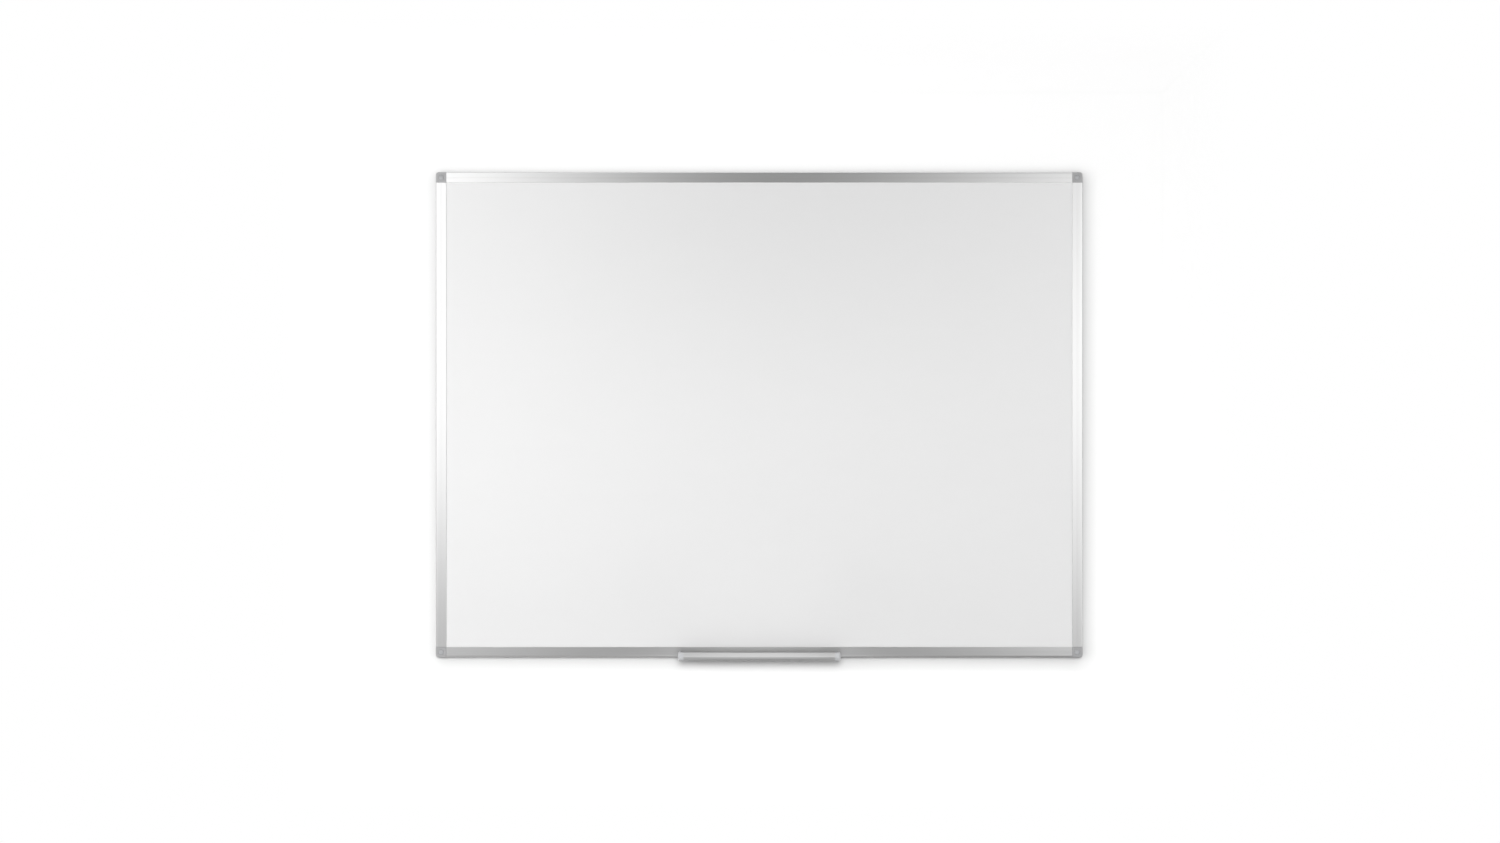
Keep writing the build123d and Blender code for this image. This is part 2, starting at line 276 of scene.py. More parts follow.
def cut_hollow(bm: BMesh, first: Vector, last: Vector, sides: Sequence[Sequence[Vector]]) -> None:
    """Cut a hollow out of a flat section in the XY plane.

    Args:
        bm: Mesh that holds only the section's faces.
        first: Point of the hollow's outline.
        last: Point opposite to it.
        sides: Corners of the hollow from the first to the last point, one way round and the other.
    """
    # The line through both points meets the section's outline in two new vertices
    middle = (first + last) / 2
    face = face_at(bm, middle, Z_AXIS)
    seam_normal = (last - first).cross(Z_AXIS).normalized()
    bmesh.ops.bisect_plane(bm, geom=[face, *face.edges, *face.verts], plane_co=first, plane_no=seam_normal)
    on_seam = [vert for vert in bm.verts if abs((vert.co - first).dot(seam_normal)) < TOUCH]
    seam = next(
        edge
        for edge in edges_among(bm, on_seam)
        if (edge.verts[0].co - middle).dot(edge.verts[1].co - middle) < 0
    )
    # Between them the face is split along one side of the hollow, and the rest of it along the other side
    near, far = sorted(seam.verts, key=lambda vert: (vert.co - first).length)
    bmesh.ops.dissolve_edges(bm, edges=[seam], use_verts=False)
    bmesh.utils.face_split(face_at(bm, middle, Z_AXIS), near, far, coords=[first, *sides[0], last])
    rest = face_at(bm, (middle + sides[1][len(sides[1]) // 2]) / 2, Z_AXIS)
    ends = [vert_at(rest.verts, point) for point in (first, last)]
    bmesh.utils.face_split(rest, *ends, coords=sides[1])
    bmesh.ops.delete(bm, geom=[face_at(bm, middle, Z_AXIS)], context="FACES_ONLY")


def extrude_section(bm: BMesh, length: float) -> None:
    """Make a flat section a closed bar along +Z, with its hollows open at both ends.

    Args:
        bm: Mesh that holds only the section's faces.
        length: Length of the bar.
    """
    drawn = bmesh.ops.extrude_face_region(bm, geom=list(bm.faces))["geom"]
    bmesh.ops.translate(bm, verts=of_kind(drawn, BMVert), vec=(0, 0, length))
    bmesh.ops.recalc_face_normals(bm, faces=bm.faces)


def face_at(bm: BMesh, point: Vector, normal: Vector) -> BMFace:
    """The flat face that a point lies on.

    Args:
        bm: Mesh to look in.
        point: Point on the face.
        normal: Line across the face, either way.

    Returns:
        The face.
    """
    bm.normal_update()
    for face in bm.faces:
        height = (face.verts[0].co - point).dot(normal)
        level = abs(face.normal.dot(normal)) > PARALLEL and abs(height) < TOUCH
        if level and bmesh.geometry.intersect_face_point(face, point):
            return face
    raise ValueError(f"no face at {tuple(point)}")


def patch(bm: BMesh, centre: Vector, normal: Vector, across: Vector, width: float, height: float) -> BMFace:
    """Cut a rectangle out of a flat face, as a face of its own.

    Args:
        bm: Mesh that holds the face.
        centre: Middle of the rectangle.
        normal: Line across the face.
        across: Direction of the rectangle's width.
        width: Size along that direction.
        height: Size along the other one.

    Returns:
        The rectangle's face.
    """
    for axis, half in ((across, width / 2), (normal.cross(across), height / 2)):
        for way in (-1, 1):
            face = face_at(bm, centre, normal)
            geom = [face, *face.edges, *face.verts]
            bmesh.ops.bisect_plane(bm, geom=geom, plane_co=centre + axis * half * way, plane_no=axis)
    return face_at(bm, centre, normal)


def ring_in_face(
    bm: BMesh, centre: Vector, normal: Vector, across: Vector, radius: float, segments: int
) -> list[BMEdge]:
    """Open a round hole in a flat face.

    Args:
        bm: Mesh that holds the face.
        centre: Middle of the hole.
        normal: Line across the face.
        across: A direction in the face.
        radius: Radius of the hole.
        segments: Straight pieces round the hole.

    Returns:
        The edges of the hole.
    """
    side = 2 * (radius + HOLE_MARGIN)
    square = patch(bm, centre, normal, across, side, side)
    border = list(square.edges)
    bmesh.ops.delete(bm, geom=[square], context="FACES_ONLY")
    place = axes_matrix(across, normal.cross(across), normal, centre)
    circle = bmesh.ops.create_circle(bm, cap_ends=False, segments=segments, radius=radius, matrix=place)
    rim = edges_among(bm, circle["verts"])
    bmesh.ops.triangle_fill(bm, use_beauty=True, use_dissolve=False, edges=border + rim, normal=normal)
    return rim


def carry_ring(
    bm: BMesh, rim: list[BMEdge], centre: Vector, way: Vector, radius: float, *steps: tuple[float, float]
) -> list[BMEdge]:
    """Carry a round edge on, step by step, to new sizes and places.

    Args:
        bm: Mesh that holds the edge.
        rim: Edges of the circle.
        centre: Middle of the circle.
        way: Direction of its travel.
        radius: Its radius.
        *steps: Radius after each step, and how far the step travels.

    Returns:
        The edges of the last circle.
    """
    for following, travel in steps:
        verts = of_kind(bmesh.ops.extrude_edge_only(bm, edges=rim)["geom"], BMVert)
        size = Matrix.Scale(following / radius, 4)
        about_centre = Matrix.Translation(centre) @ size @ Matrix.Translation(-centre)
        bmesh.ops.transform(bm, matrix=about_centre, verts=verts)
        bmesh.ops.translate(bm, verts=verts, vec=way * travel)
        rim, radius, centre = edges_among(bm, verts), following, centre + way * travel
    return rim


def countersink(bm: BMesh, outer: Vector, wall: float, wide: float, narrow: float) -> None:
    """Drill a countersunk hole along +Y through a flat wall.

    Args:
        bm: Mesh that holds the wall.
        outer: Middle of the hole on the wall's outer face.
        wall: Thickness of the wall.
        wide: Radius at the outer face.
        narrow: Radius of the drilled part.
    """
    far = ring_in_face(bm, outer + Y_AXIS * wall, Y_AXIS, Z_AXIS, narrow, SCREW_SEGMENTS)
    near = ring_in_face(bm, outer, Y_AXIS, Z_AXIS, wide, SCREW_SEGMENTS)
    depth = min(wide - narrow, wall * COUNTERSINK_SHARE)
    waist = carry_ring(bm, near, outer, Y_AXIS, wide, (narrow, depth))
    bmesh.ops.bridge_loops(bm, edges=waist + far)


def new_object(name: str, data: ID) -> Object:
    """Put an object into the scene.

    Args:
        name: Its name.
        data: Mesh, lamp or camera that it shows.

    Returns:
        The object.
    """
    made = bpy.data.objects.new(name, data)
    bpy.context.scene.collection.objects.link(made)
    return made


def mesh_object(bm: BMesh, name: str, material: Material) -> Object:
    """Turn a finished mesh in metres into an object.

    Args:
        bm: The mesh, which is freed.
        name: Name of the object.
        material: Its material.

    Returns:
        The object.
    """
    mesh = bpy.data.meshes.new(name)
    bm.to_mesh(mesh)
    bm.free()
    mesh.materials.append(material)
    return new_object(name, mesh)


def hand_over(
    bm: BMesh, place: Matrix, name: str, body: str, node: str, material: Material
) -> None:
    """Turn a mesh drawn in millimetres into a finished piece of the board.

    Args:
        bm: Finished mesh, which is freed.
        place: Where the mesh goes in the row frame.
        name: Name of the piece.
        body: Body that it rides on.
        node: CAD node that it stands for.
        material: Its finish.
    """
    bmesh.ops.remove_doubles(bm, verts=bm.verts, dist=TOUCH)
    bmesh.ops.transform(bm, matrix=place, verts=bm.verts)
    bmesh.ops.recalc_face_normals(bm, faces=bm.faces)
    bmesh.ops.scale(bm, vec=(MM, MM, MM), verts=bm.verts)
    piece = mesh_object(bm, name, material)
    piece.data.shade_smooth()
    piece.data.set_sharp_from_angle(angle=SMOOTH_ANGLE)
    level = piece.modifiers.new("flat faces stay flat", "WEIGHTED_NORMAL")
    level.keep_sharp = True
    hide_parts(node)
    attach(piece, body)
    log.info("%s: %d faces, rides on %s", name, len(piece.data.polygons), body)


def dress_node(node: str, material: Material) -> None:
    """Give a CAD node that keeps its own shape a finish.

    Args:
        node: Name of the node.
        material: Its finish.
    """
    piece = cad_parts[node]
    piece.data.materials.clear()
    piece.data.materials.append(material)
    log.info("%s: keeps its solid, finish %s", node, material.name)


# Finishes


@dataclass(frozen=True)
class Clouds:
    """A cloudy pattern, by its real size along X, Y and Z in millimetres."""

    sizes: tuple[float, float, float]
    detail: float
    distortion: float = 0.0

    def draw(self, tree: NodeTree, place: NodeSocket) -> NodeSocket:
        """Add the pattern to a material.

        Args:
            tree: The material's nodes.
            place: Object coordinates.

        Returns:
            The pattern's value, from 0 to 1.
        """
        scale = [1 / (size * MM) for size in self.sizes]
        laid = add_node(tree, "Mapping", {"Vector": place, "Scale": scale})
        look = {"Vector": laid, "Scale": 1.0, "Detail": self.detail, "Distortion": self.distortion}
        return add_node(tree, "TexNoise", look).outputs[0]


@dataclass(frozen=True)
class Crystals:
    """Zinc crystals with bent edges, each in a tone of its own; sizes in millimetres."""

    size: float
    bend: float = 6.0
    bend_size: float = 16.667
    bend_detail: float = 3.0

    def draw(self, tree: NodeTree, place: NodeSocket) -> NodeSocket:
        """Add the pattern to a material.

        Args:
            tree: The material's nodes.
            place: Object coordinates.

        Returns:
            The tone of each crystal, from 0 to 1.
        """
        waves = {"Vector": place, "Scale": 1 / (self.bend_size * MM), "Detail": self.bend_detail}
        bent = add_node(tree, "TexNoise", waves).outputs["Color"]
        shift = {0: bent, 1: (self.bend * MM,) * 3, 2: place}
        spot = add_node(tree, "VectorMath", shift, operation="MULTIPLY_ADD")
        cells = add_node(tree, "TexVoronoi", {"Vector": spot, "Scale": 1 / (self.size * MM)})
        return add_node(tree, "SeparateColor", {"Color": cells.outputs["Color"]}).outputs[0]


@dataclass(frozen=True)
class Relief:
    """A pattern that stands out of the surface by a depth in millimetres."""

    pattern: Clouds | Crystals
    strength: float
    depth: float


@dataclass(frozen=True)
class Finish:
    """What every finish shares: a name, and the colours and roughness that its tones run between."""

    name: str
    colours: tuple[str, str]
    roughness: tuple[float, float]
    metallic: float = 0.0
    coat: float = 0.0
    coat_roughness: float = 0.03

    def tone(self) -> Clouds | Crystals:
        """Pattern that the colour and the roughness follow."""
        raise NotImplementedError

    def reliefs(self) -> tuple[Relief, ...]:
        """Fine relief of the surface, one pattern on another."""
        return ()

    def material(self) -> Material:
        """Make the finish's material.

        Returns:
            A material with one shader.
        """
        made = new_material(self.name)
        tree = made.node_tree
        place = add_node(tree, "TexCoord").outputs["Object"]
        tone, reliefs = self.tone(), self.reliefs()
        patterns = dict.fromkeys((tone, *(relief.pattern for relief in reliefs)))
        drawn = {pattern: pattern.draw(tree, place) for pattern in patterns}
        ends = dict(zip(MIX_COLOURS, map(linear, self.colours)))
        mixed = add_node(tree, "Mix", {"Factor": drawn[tone], **ends}, data_type="RGBA")
        spread = dict(zip(("To Min", "To Max"), self.roughness))
        look = {
            "Base Color": mixed.outputs[MIXED_COLOUR],
            "Roughness": add_node(tree, "MapRange", {"Value": drawn[tone], **spread}),
            "Metallic": self.metallic,
            "Coat Weight": self.coat,
            "Coat Roughness": self.coat_roughness,
        }
        normal = {}
        for relief in reliefs:
            bump = {"Strength": relief.strength, "Distance": relief.depth * MM}
            normal = {"Normal": add_node(tree, "Bump", {"Height": drawn[relief.pattern], **bump, **normal})}
        shader = add_node(tree, "BsdfPrincipled", {**look, **normal})
        add_node(tree, "OutputMaterial", {"Surface": shader})
        return made


class Grain(Enum):
    """Way that the drawing lines of an extrusion run, as the number of its axis."""

    ACROSS = 0
    UPRIGHT = 2


@dataclass(frozen=True)
class AnodisedAluminium(Finish):
    """Extruded and satin anodised: soft mirror with fine lines that run the way it was drawn."""

    name: str = "satin anodised aluminium extrusion"
    colours: tuple[str, str] = ("#C8C8C8", "#D0D0D0")
    roughness: tuple[float, float] = (0.32, 0.28)
    metallic: float = 1.0
    grain: Grain = Grain.ACROSS
    line_length: float = 8333.0
    line_spacing: float = 0.9
    streak_width: float = 4.0
    pit_size: float = 0.25

    def lines(self, width: float) -> Clouds:
        """Draw lines out along the grain.

        Args:
            width: Width of a line.

        Returns:
            The pattern.
        """
        sizes = [width] * 3
        sizes[self.grain.value] = self.line_length
        return Clouds(tuple(sizes), detail=3.0)

    def tone(self) -> Clouds:
        """The wider streaks of the drawn metal."""
        return self.lines(self.streak_width)

    def reliefs(self) -> tuple[Relief, ...]:
        """The drawing lines, and the grain of the etched surface on them."""
        # Real die lines and etch pits measure a few hundredths of a millimetre: drawn as coarse as they show
        drawing = Relief(self.lines(self.line_spacing), strength=0.12, depth=0.02)
        return drawing, Relief(Clouds((self.pit_size,) * 3, detail=2.0), strength=0.1, depth=0.01)


@dataclass(frozen=True)
class LacqueredSteel(Finish):
    """Coil-coated steel with a baked white lacquer: bright, glossy, and dulled a little where it is wiped."""

    name: str = "white lacquered steel"
    colours: tuple[str, str] = ("#EEEEEE", "#F0F0F0")
    roughness: tuple[float, float] = (0.265, 0.185)
    coat: float = 0.35
    coat_roughness: float = 0.12
    wipe_sizes: tuple[float, float, float] = (257.143, 90.0, 90.0)
    peel_size: float = 2.2

    def tone(self) -> Clouds:
        """The haze that wiping from side to side leaves."""
        return Clouds(self.wipe_sizes, detail=5.0, distortion=1.2)

    def reliefs(self) -> tuple[Relief, ...]:
        """The lacquer's faint peel."""
        return (Relief(Clouds((self.peel_size,) * 3, detail=1.0), strength=0.15, depth=0.01),)


@dataclass(frozen=True)
class GalvanisedSteel(Finish):
    """Hot-dip galvanised sheet: a dull metal grey broken up by crystals of zinc."""

    name: str = "galvanised steel sheet"
    colours: tuple[str, str] = ("#A3A6A9", "#B5B8BA")
    roughness: tuple[float, float] = (0.48, 0.36)
    metallic: float = 1.0
    crystal_size: float = 9.0

    def tone(self) -> Crystals:
        """The zinc crystals, some duller than others."""
        return Crystals(self.crystal_size)

    def reliefs(self) -> tuple[Relief, ...]:
        """The crystals' slightly different levels."""
        return (Relief(self.tone(), strength=0.15, depth=0.03),)


@dataclass(frozen=True)
class Fibreboard(Finish):
    """Pressed wood fibre: dry, brown and felted."""

    name: str = "pressed wood fibreboard"
    colours: tuple[str, str] = ("#8F7550", "#D6BC94")
    roughness: tuple[float, float] = (0.85, 0.93)
    fibre_sizes: tuple[float, float, float] = (3.333, 0.5, 0.833)

    def tone(self) -> Clouds:
        """The felted fibres."""
        return Clouds(self.fibre_sizes, detail=6.0, distortion=2.0)

    def reliefs(self) -> tuple[Relief, ...]:
        """The fibres' rough surface."""
        return (Relief(self.tone(), strength=0.5, depth=0.2),)


@dataclass(frozen=True)
class MouldedPlastic(Finish):
    """Injection-moulded plastic: even colour, with the fine texture of a spark-eroded mould."""

    name: str = "moulded grey ABS"
    colours: tuple[str, str] = ("#A4A4A5", "#ACACAD")
    roughness: tuple[float, float] = (0.47, 0.37)
    spark_size: float = 0.35
    spark_depth: float = 0.03
    flow_size: float = 12.0

    def tone(self) -> Clouds:
        """The slow drift of the melt."""
        return Clouds((self.flow_size,) * 3, detail=3.0)

    def reliefs(self) -> tuple[Relief, ...]:
        """The mould's spark texture, which is finer on a real mould: drawn as coarse as it shows."""
        return (Relief(Clouds((self.spark_size,) * 3, detail=2.0), strength=0.5, depth=self.spark_depth),)


@dataclass(frozen=True)
class ZincPlate(Finish):
    """Bright zinc plate on a small steel screw: pale metal, slightly uneven."""

    name: str = "zinc-plated screw steel"
    colours: tuple[str, str] = ("#AEB1B6", "#CDD0D3")
    roughness: tuple[float, float] = (0.44, 0.3)
    metallic: float = 1.0
    patch_size: float = 1.5

    def tone(self) -> Clouds:
        """The plate's uneven patches."""
        return Clouds((self.patch_size,) * 3, detail=4.0)


# Sub-assemblies


class Side(Enum):
    """One side of the frame, as the ways inward and along its rail."""

    TOP = ((0, 0, -1), (-1, 0, 0))
    BOTTOM = ((0, 0, 1), (1, 0, 0))
    LEFT = ((1, 0, 0), (0, 0, -1))
    RIGHT = ((-1, 0, 0), (0, 0, 1))

    @property
    def label(self) -> str:
        """The side's name in the names of its pieces."""
        return self.name.lower()

    @property
    def inward(self) -> Vector:
        """Way from the outer edge towards the middle of the board."""
        return Vector(self.value[0])

    @property
    def along(self) -> Vector:
        """Way that the rail's section is drawn out."""
        return Vector(self.value[1])

    @property
    def grain(self) -> Grain:
        """Way that the drawing lines run on this rail."""
        return Grain.ACROSS if self in (Side.TOP, Side.BOTTOM) else Grain.UPRIGHT

    def rail(self) -> tuple[Vector, float, float, float]:
        """Measure the side's rail.

        Returns:
            Middle of its outer back edge, its length, the width of its face and its depth.
        """
        low, high = box_in_mm(f"rail_{self.label}")
        size = high - low
        length, face = (abs(size.dot(way)) for way in (self.along, self.inward))
        edge = (low + high) / 2 - self.inward * face / 2
        edge.y = high.y
        return edge, length, face, size.y


@dataclass
class FrameRails:
    """The frame's four extrusions; a section's X runs inward from the outer edge, its Y forward."""

    tube_width: float = 9.5
    tube_wall: float = 1.4
    wall: float = 1.2
    back_lip_recess: float = 3.2
    front_radius: float = 3.0
    back_radius: float = 0.8
    lip_radius: float = 0.4
    groove_width: float = 0.8
    groove_depth: float = 0.4
    slot_middle: float = 8.0
    slot_opening: float = 4.0
    slot_width: float = 8.0
    slot_depth: float = 1.8
    slot_wall: float = 1.0
    easing: float = 0.12
    chamber_segments: int = 6
    end_gap: float = 0.05
    screw_inset: float = 20.0
    screw_middle: float = 6.15
    hole_wide: float = 2.65
    hole_narrow: float = 1.5

    def build(self) -> None:
        """Build and dress all four rails."""
        for side in Side:
            self.rail(side)

    def outline(self, bm: BMesh, face: float, depth: float) -> None:
        """Draw the outer outline of the section.

        Args:
            bm: Mesh to draw in.
            face: Width of the rail's face.
            depth: Depth of the rail.
        """
        wall, tube, lip = self.wall, self.tube_width, self.back_lip_recess
        slot_floor = wall + self.slot_depth
        slot_low, slot_high = around(self.slot_middle, self.slot_width)
        mouth_low, mouth_high = around(self.slot_middle, self.slot_opening)
        groove_low, groove_high = around(face / 2, self.groove_width)
        groove_floor = depth - self.groove_depth
        pen = Pen(bm)
        pen.corners((0, 0, self.back_radius), (0, mouth_low), (wall, mouth_low), (wall, slot_low))
        pen.corners((slot_floor, slot_low), (slot_floor, slot_high), (wall, slot_high), (wall, mouth_high))
        pen.corners((0, mouth_high), (0, depth, self.front_radius), (groove_low, depth))
        pen.corners((groove_low, groove_floor), (groove_high, groove_floor), (groove_high, depth))
        pen.corners((face, depth, self.lip_radius), (face, depth - wall), (tube, depth - wall))
        pen.corners((tube, lip + wall), (face, lip + wall), (face, lip), (tube, lip), (tube, 0))
        pen.close(easing=self.easing)

    def chamber(self, bm: BMesh, depth: float) -> None:
        """Cut the closed chamber inside the rail's tube.

        Args:
            bm: Mesh that holds the section.
            depth: Depth of the rail.
        """
        inside, edge = self.tube_width - self.wall, self.tube_wall
        step = self.wall + self.slot_depth + self.slot_wall
        turns = around(self.slot_middle, self.slot_width + 2 * self.slot_wall)
        sides = [
            [Vector((x, y, 0)) for x, y in ((step, turn), (edge, turn), (edge, end), (inside, end))]
            for turn, end in zip(turns, (edge, depth - edge))
        ]
        first, last = (Vector((x, self.slot_middle, 0)) for x in (step, inside))
        cut_hollow(bm, first, last, sides)
        bevel(bm, [vert_at(bm.verts, sides[1][2])], self.front_radius - edge, self.chamber_segments)

    def rail(self, side: Side) -> None:
        """Build one rail: section, length, end seams and the two screw holes from behind.

        Args:
            side: Side of the frame.
        """
        edge, length, face, depth = side.rail()
        length -= 2 * self.end_gap
        bm = bmesh.new()
        self.outline(bm, face, depth)
        self.chamber(bm, depth)
        extrude_section(bm, length)
        inset = self.screw_inset - self.end_gap
        for along in (inset, length - inset):
            spot = Vector((self.screw_middle, 0, along))
            countersink(bm, spot, self.tube_wall, self.hole_wide, self.hole_narrow)
        place = axes_matrix(side.inward, FORWARD, side.along, edge - side.along * length / 2)
        label = side.label
        finish = AnodisedAluminium(f"satin anodised aluminium, {label} rail", grain=side.grain).material()
        hand_over(bm, place, f"{label}_rail", "board", f"rail_{label}", finish)


@dataclass(frozen=True)
class Limb:
    """A bar that goes from a corner block into a rail: its sides, its back and front, its end's chamfer."""

    low: float
    high: float
    back: float
    front: float
    chamfer: float


@dataclass
class CornerBlocks:
    """The four moulded corners; X and Y run inward from the board's outer corner, Z forward."""

    corner_radius: float = 5.0
    corner_segments: int = 12
    edge_radius: float = 1.2
    edge_segments: int = 6
    back_easing: float = 0.3
    back_segments: int = 2
    recess_radius: float = 4.7
    recess_depth: float = 0.6
    well_radius: float = 4.1
    well_depth: float = 9.0
    well_segments: int = 48
    hole_radius: float = 2.25
    rim_easing: float = 0.35
    arm: Limb = Limb(low=4.15, high=8.15, back=1.55, front=14.45, chamfer=1.2)
    tongue: Limb = Limb(low=1.35, high=2.85, back=4.15, front=11.85, chamfer=0.3)
    tongue_length: float = 12.0
    pocket_line: float = 29.293
    pocket_back: float = 4.4
    pocket_front: float = 14.8
    flat_angle: float = radians(1)

    def build(self) -> None:
        """Build and dress the four blocks."""
        plastic = MouldedPlastic().material()
        rail_low, rail_high = box_in_mm("rail_bottom")
        for corner in CORNERS:
            low, high = box_in_mm(f"corner_block_{corner}")
            left, bottom = corner.endswith("left"), corner.startswith("bottom")
            width = rail_low.x - low.x if left else high.x - rail_high.x
            bm = bmesh.new()
            self.body(bm, width, high.y - low.y)
            self.well(bm, width, high.y - low.y)
            self.limbs(bm, width, high.x - low.x - width)
            origin = Vector((low.x if left else high.x, high.y, low.z if bottom else high.z))
            place = axes_matrix(X_AXIS if left else -X_AXIS, Z_AXIS if bottom else -Z_AXIS, FORWARD, origin)
            name = f"{corner}_corner_block"
            hand_over(bm, place, name, "board", f"corner_block_{corner}", plastic)

    def body(self, bm: BMesh, width: float, depth: float) -> None:
        """Build the block with its rounded front and the pocket that clears the panel's cut corner.

        Args:
            bm: Mesh to build in.
            width: Side of the block.
            depth: Depth of the block.
        """
        notch = self.pocket_line - width
        pen = Pen(bm)
        pen.corners((0, 0, self.corner_radius), (width, 0))
        first = pen.corner(width, notch)
        second = pen.corner(notch, width)
        pen.corner(0, width)
        main = pen.close(self.corner_segments)
        # The whole square stands as far as the pocket's back, and the square with a cut corner from there on
        tip = bm.verts.new((width, width, 0))
        both = self.raise_faces(bm, [main, bm.faces.new((first, tip, second))], self.pocket_back, keep=True)
        main = max(both, key=lambda face: face.calc_area())
        for height in (self.pocket_front - self.pocket_back, depth - self.pocket_front):
            main = self.raise_faces(bm, [main], height, keep=False)[0]
        # In front of the pocket the cut side is drawn out to the square's corner again
        middle = Vector((self.pocket_line, self.pocket_line, self.pocket_front + depth)) / 2
        cheek = face_at(bm, middle, (X_AXIS + Y_AXIS).normalized())
        pushed = bmesh.ops.extrude_discrete_faces(bm, faces=[cheek])["faces"][0]
        for height in (self.pocket_front, depth):
            pair = [vert for vert in pushed.verts if abs(vert.co.z - height) < TOUCH]
            bmesh.ops.pointmerge(bm, verts=pair, merge_co=(width, width, height))
        bmesh.ops.remove_doubles(bm, verts=bm.verts, dist=TOUCH)
        bmesh.ops.recalc_face_normals(bm, faces=bm.faces)
        bmesh.ops.dissolve_limit(bm, angle_limit=self.flat_angle, verts=bm.verts, edges=bm.edges)
        bevel(bm, edges_at(bm, depth), self.edge_radius, self.edge_segments)
        bevel(bm, edges_at(bm, 0), self.back_easing, self.back_segments)

    @staticmethod
    def raise_faces(bm: BMesh, faces: list[BMFace], height: float, keep: bool) -> list[BMFace]:
        """Extrude level faces upwards.

        Args:
            bm: Mesh that holds them.
            faces: Faces to raise.
            height: Distance along +Z.
            keep: Whether the faces stay as the block's back.

        Returns:
            The raised faces.
        """
        drawn = bmesh.ops.extrude_face_region(bm, geom=faces)["geom"]
        bmesh.ops.translate(bm, verts=of_kind(drawn, BMVert), vec=(0, 0, height))
        if not keep:
            bmesh.ops.delete(bm, geom=[face for face in faces if face.is_valid], context="FACES_ONLY")
        return of_kind(drawn, BMFace)

    def well(self, bm: BMesh, width: float, depth: float) -> None:
        """Open the stepped hole for the wall screw and its cap through the block.

        Args:
            bm: Mesh of the block.
            width: Side of the block.
            depth: Depth of the block.
        """
        back = Vector((width / 2, width / 2, 0))
        front = back + Z_AXIS * depth
        radius = self.recess_radius + self.rim_easing
        rim = ring_in_face(bm, front, Z_AXIS, X_AXIS, radius, self.well_segments)
        rim = carry_ring(
            bm, rim, front, -Z_AXIS, radius,
            (self.recess_radius, self.rim_easing),
            (self.recess_radius, self.recess_depth - self.rim_easing),
            (self.well_radius, 0.0),
            (self.well_radius, self.well_depth - self.recess_depth),
            (self.hole_radius, 0.0),
        )
        bottom = ring_in_face(bm, back, Z_AXIS, X_AXIS, self.hole_radius, self.well_segments)
        bmesh.ops.bridge_loops(bm, edges=rim + bottom)

    def limbs(self, bm: BMesh, width: float, arm_length: float) -> None:
        """Draw out the arms and slot tongues that go into the two rails.

        Args:
            bm: Mesh of the block.
            width: Side of the block.
            arm_length: Length of an arm.
        """
        for way, side in ((X_AXIS, Y_AXIS), (Y_AXIS, X_AXIS)):
            for limb, length in ((self.arm, arm_length), (self.tongue, self.tongue_length)):
                centre = way * width + (side * (limb.low + limb.high) + Z_AXIS * (limb.back + limb.front)) / 2
                root = patch(bm, centre, way, side, limb.high - limb.low, limb.front - limb.back)
                end = bmesh.ops.extrude_discrete_faces(bm, faces=[root])["faces"][0]
                bmesh.ops.translate(bm, verts=end.verts, vec=way * length)
                bevel(bm, list(end.edges), limb.chamfer, segments=1)


@dataclass
class ScrewCaps:
    """The domed plugs that hide the four wall screws."""

    head_height: float = 0.8
    dome_height: float = 0.6
    dome_steps: int = 10
    stem_play: float = 0.6
    stem_wall: float = 0.8
    edge_radius: float = 0.4
    steps: int = 64

    def build(self) -> None:
        """Build and dress the four caps."""
        name = "moulded grey ABS, screw caps"
        colours = ("#AAABAD", "#B3B4B6")
        plastic = MouldedPlastic(name, colours, roughness=(0.41, 0.31), spark_depth=0.015).material()
        for corner in CORNERS:
            low, high = box_in_mm(f"screw_cap_{corner}")
            bm = bmesh.new()
            self.turn(bm, (high.x - low.x) / 2, high.y - low.y)
            middle = (low + high) / 2
            middle.y = high.y
            place = axes_matrix(X_AXIS, FORWARD, -Z_AXIS, middle)
            name, node = f"{corner}_screw_cap", f"screw_cap_{corner}"
            hand_over(bm, place, name, f"cap_{corner}", node, plastic)

    def turn(self, bm: BMesh, radius: float, length: float) -> None:
        """Turn the cap about Y: a dome, a rounded rim, a flat seat and a hollow stem.

        Args:
            bm: Mesh to build in.
            radius: Radius of the head.
            length: Length from the stem's end to the top of the dome.
        """
        rim = length - self.dome_height - self.edge_radius
        seat = length - self.head_height - self.dome_height
        stem = radius - self.stem_play
        bore = stem - self.stem_wall
        ball = (radius**2 + self.dome_height**2) / (2 * self.dome_height)
        pen = Pen(bm)
        pen.corner(0, length)
        dome = asin(radius / ball) * (1 - self.edge_radius / radius)
        pen.arc((0, length - ball), -dome, self.dome_steps)
        pen.corners((radius, rim), (radius, seat), (stem, seat), (stem, 0))
        pen.corners((bore, 0), (bore, seat), (0, seat))
        line = [*bm.verts, *bm.edges]
        bmesh.ops.spin(bm, geom=line, axis=Y_AXIS, angle=tau, steps=self.steps, use_merge=True)


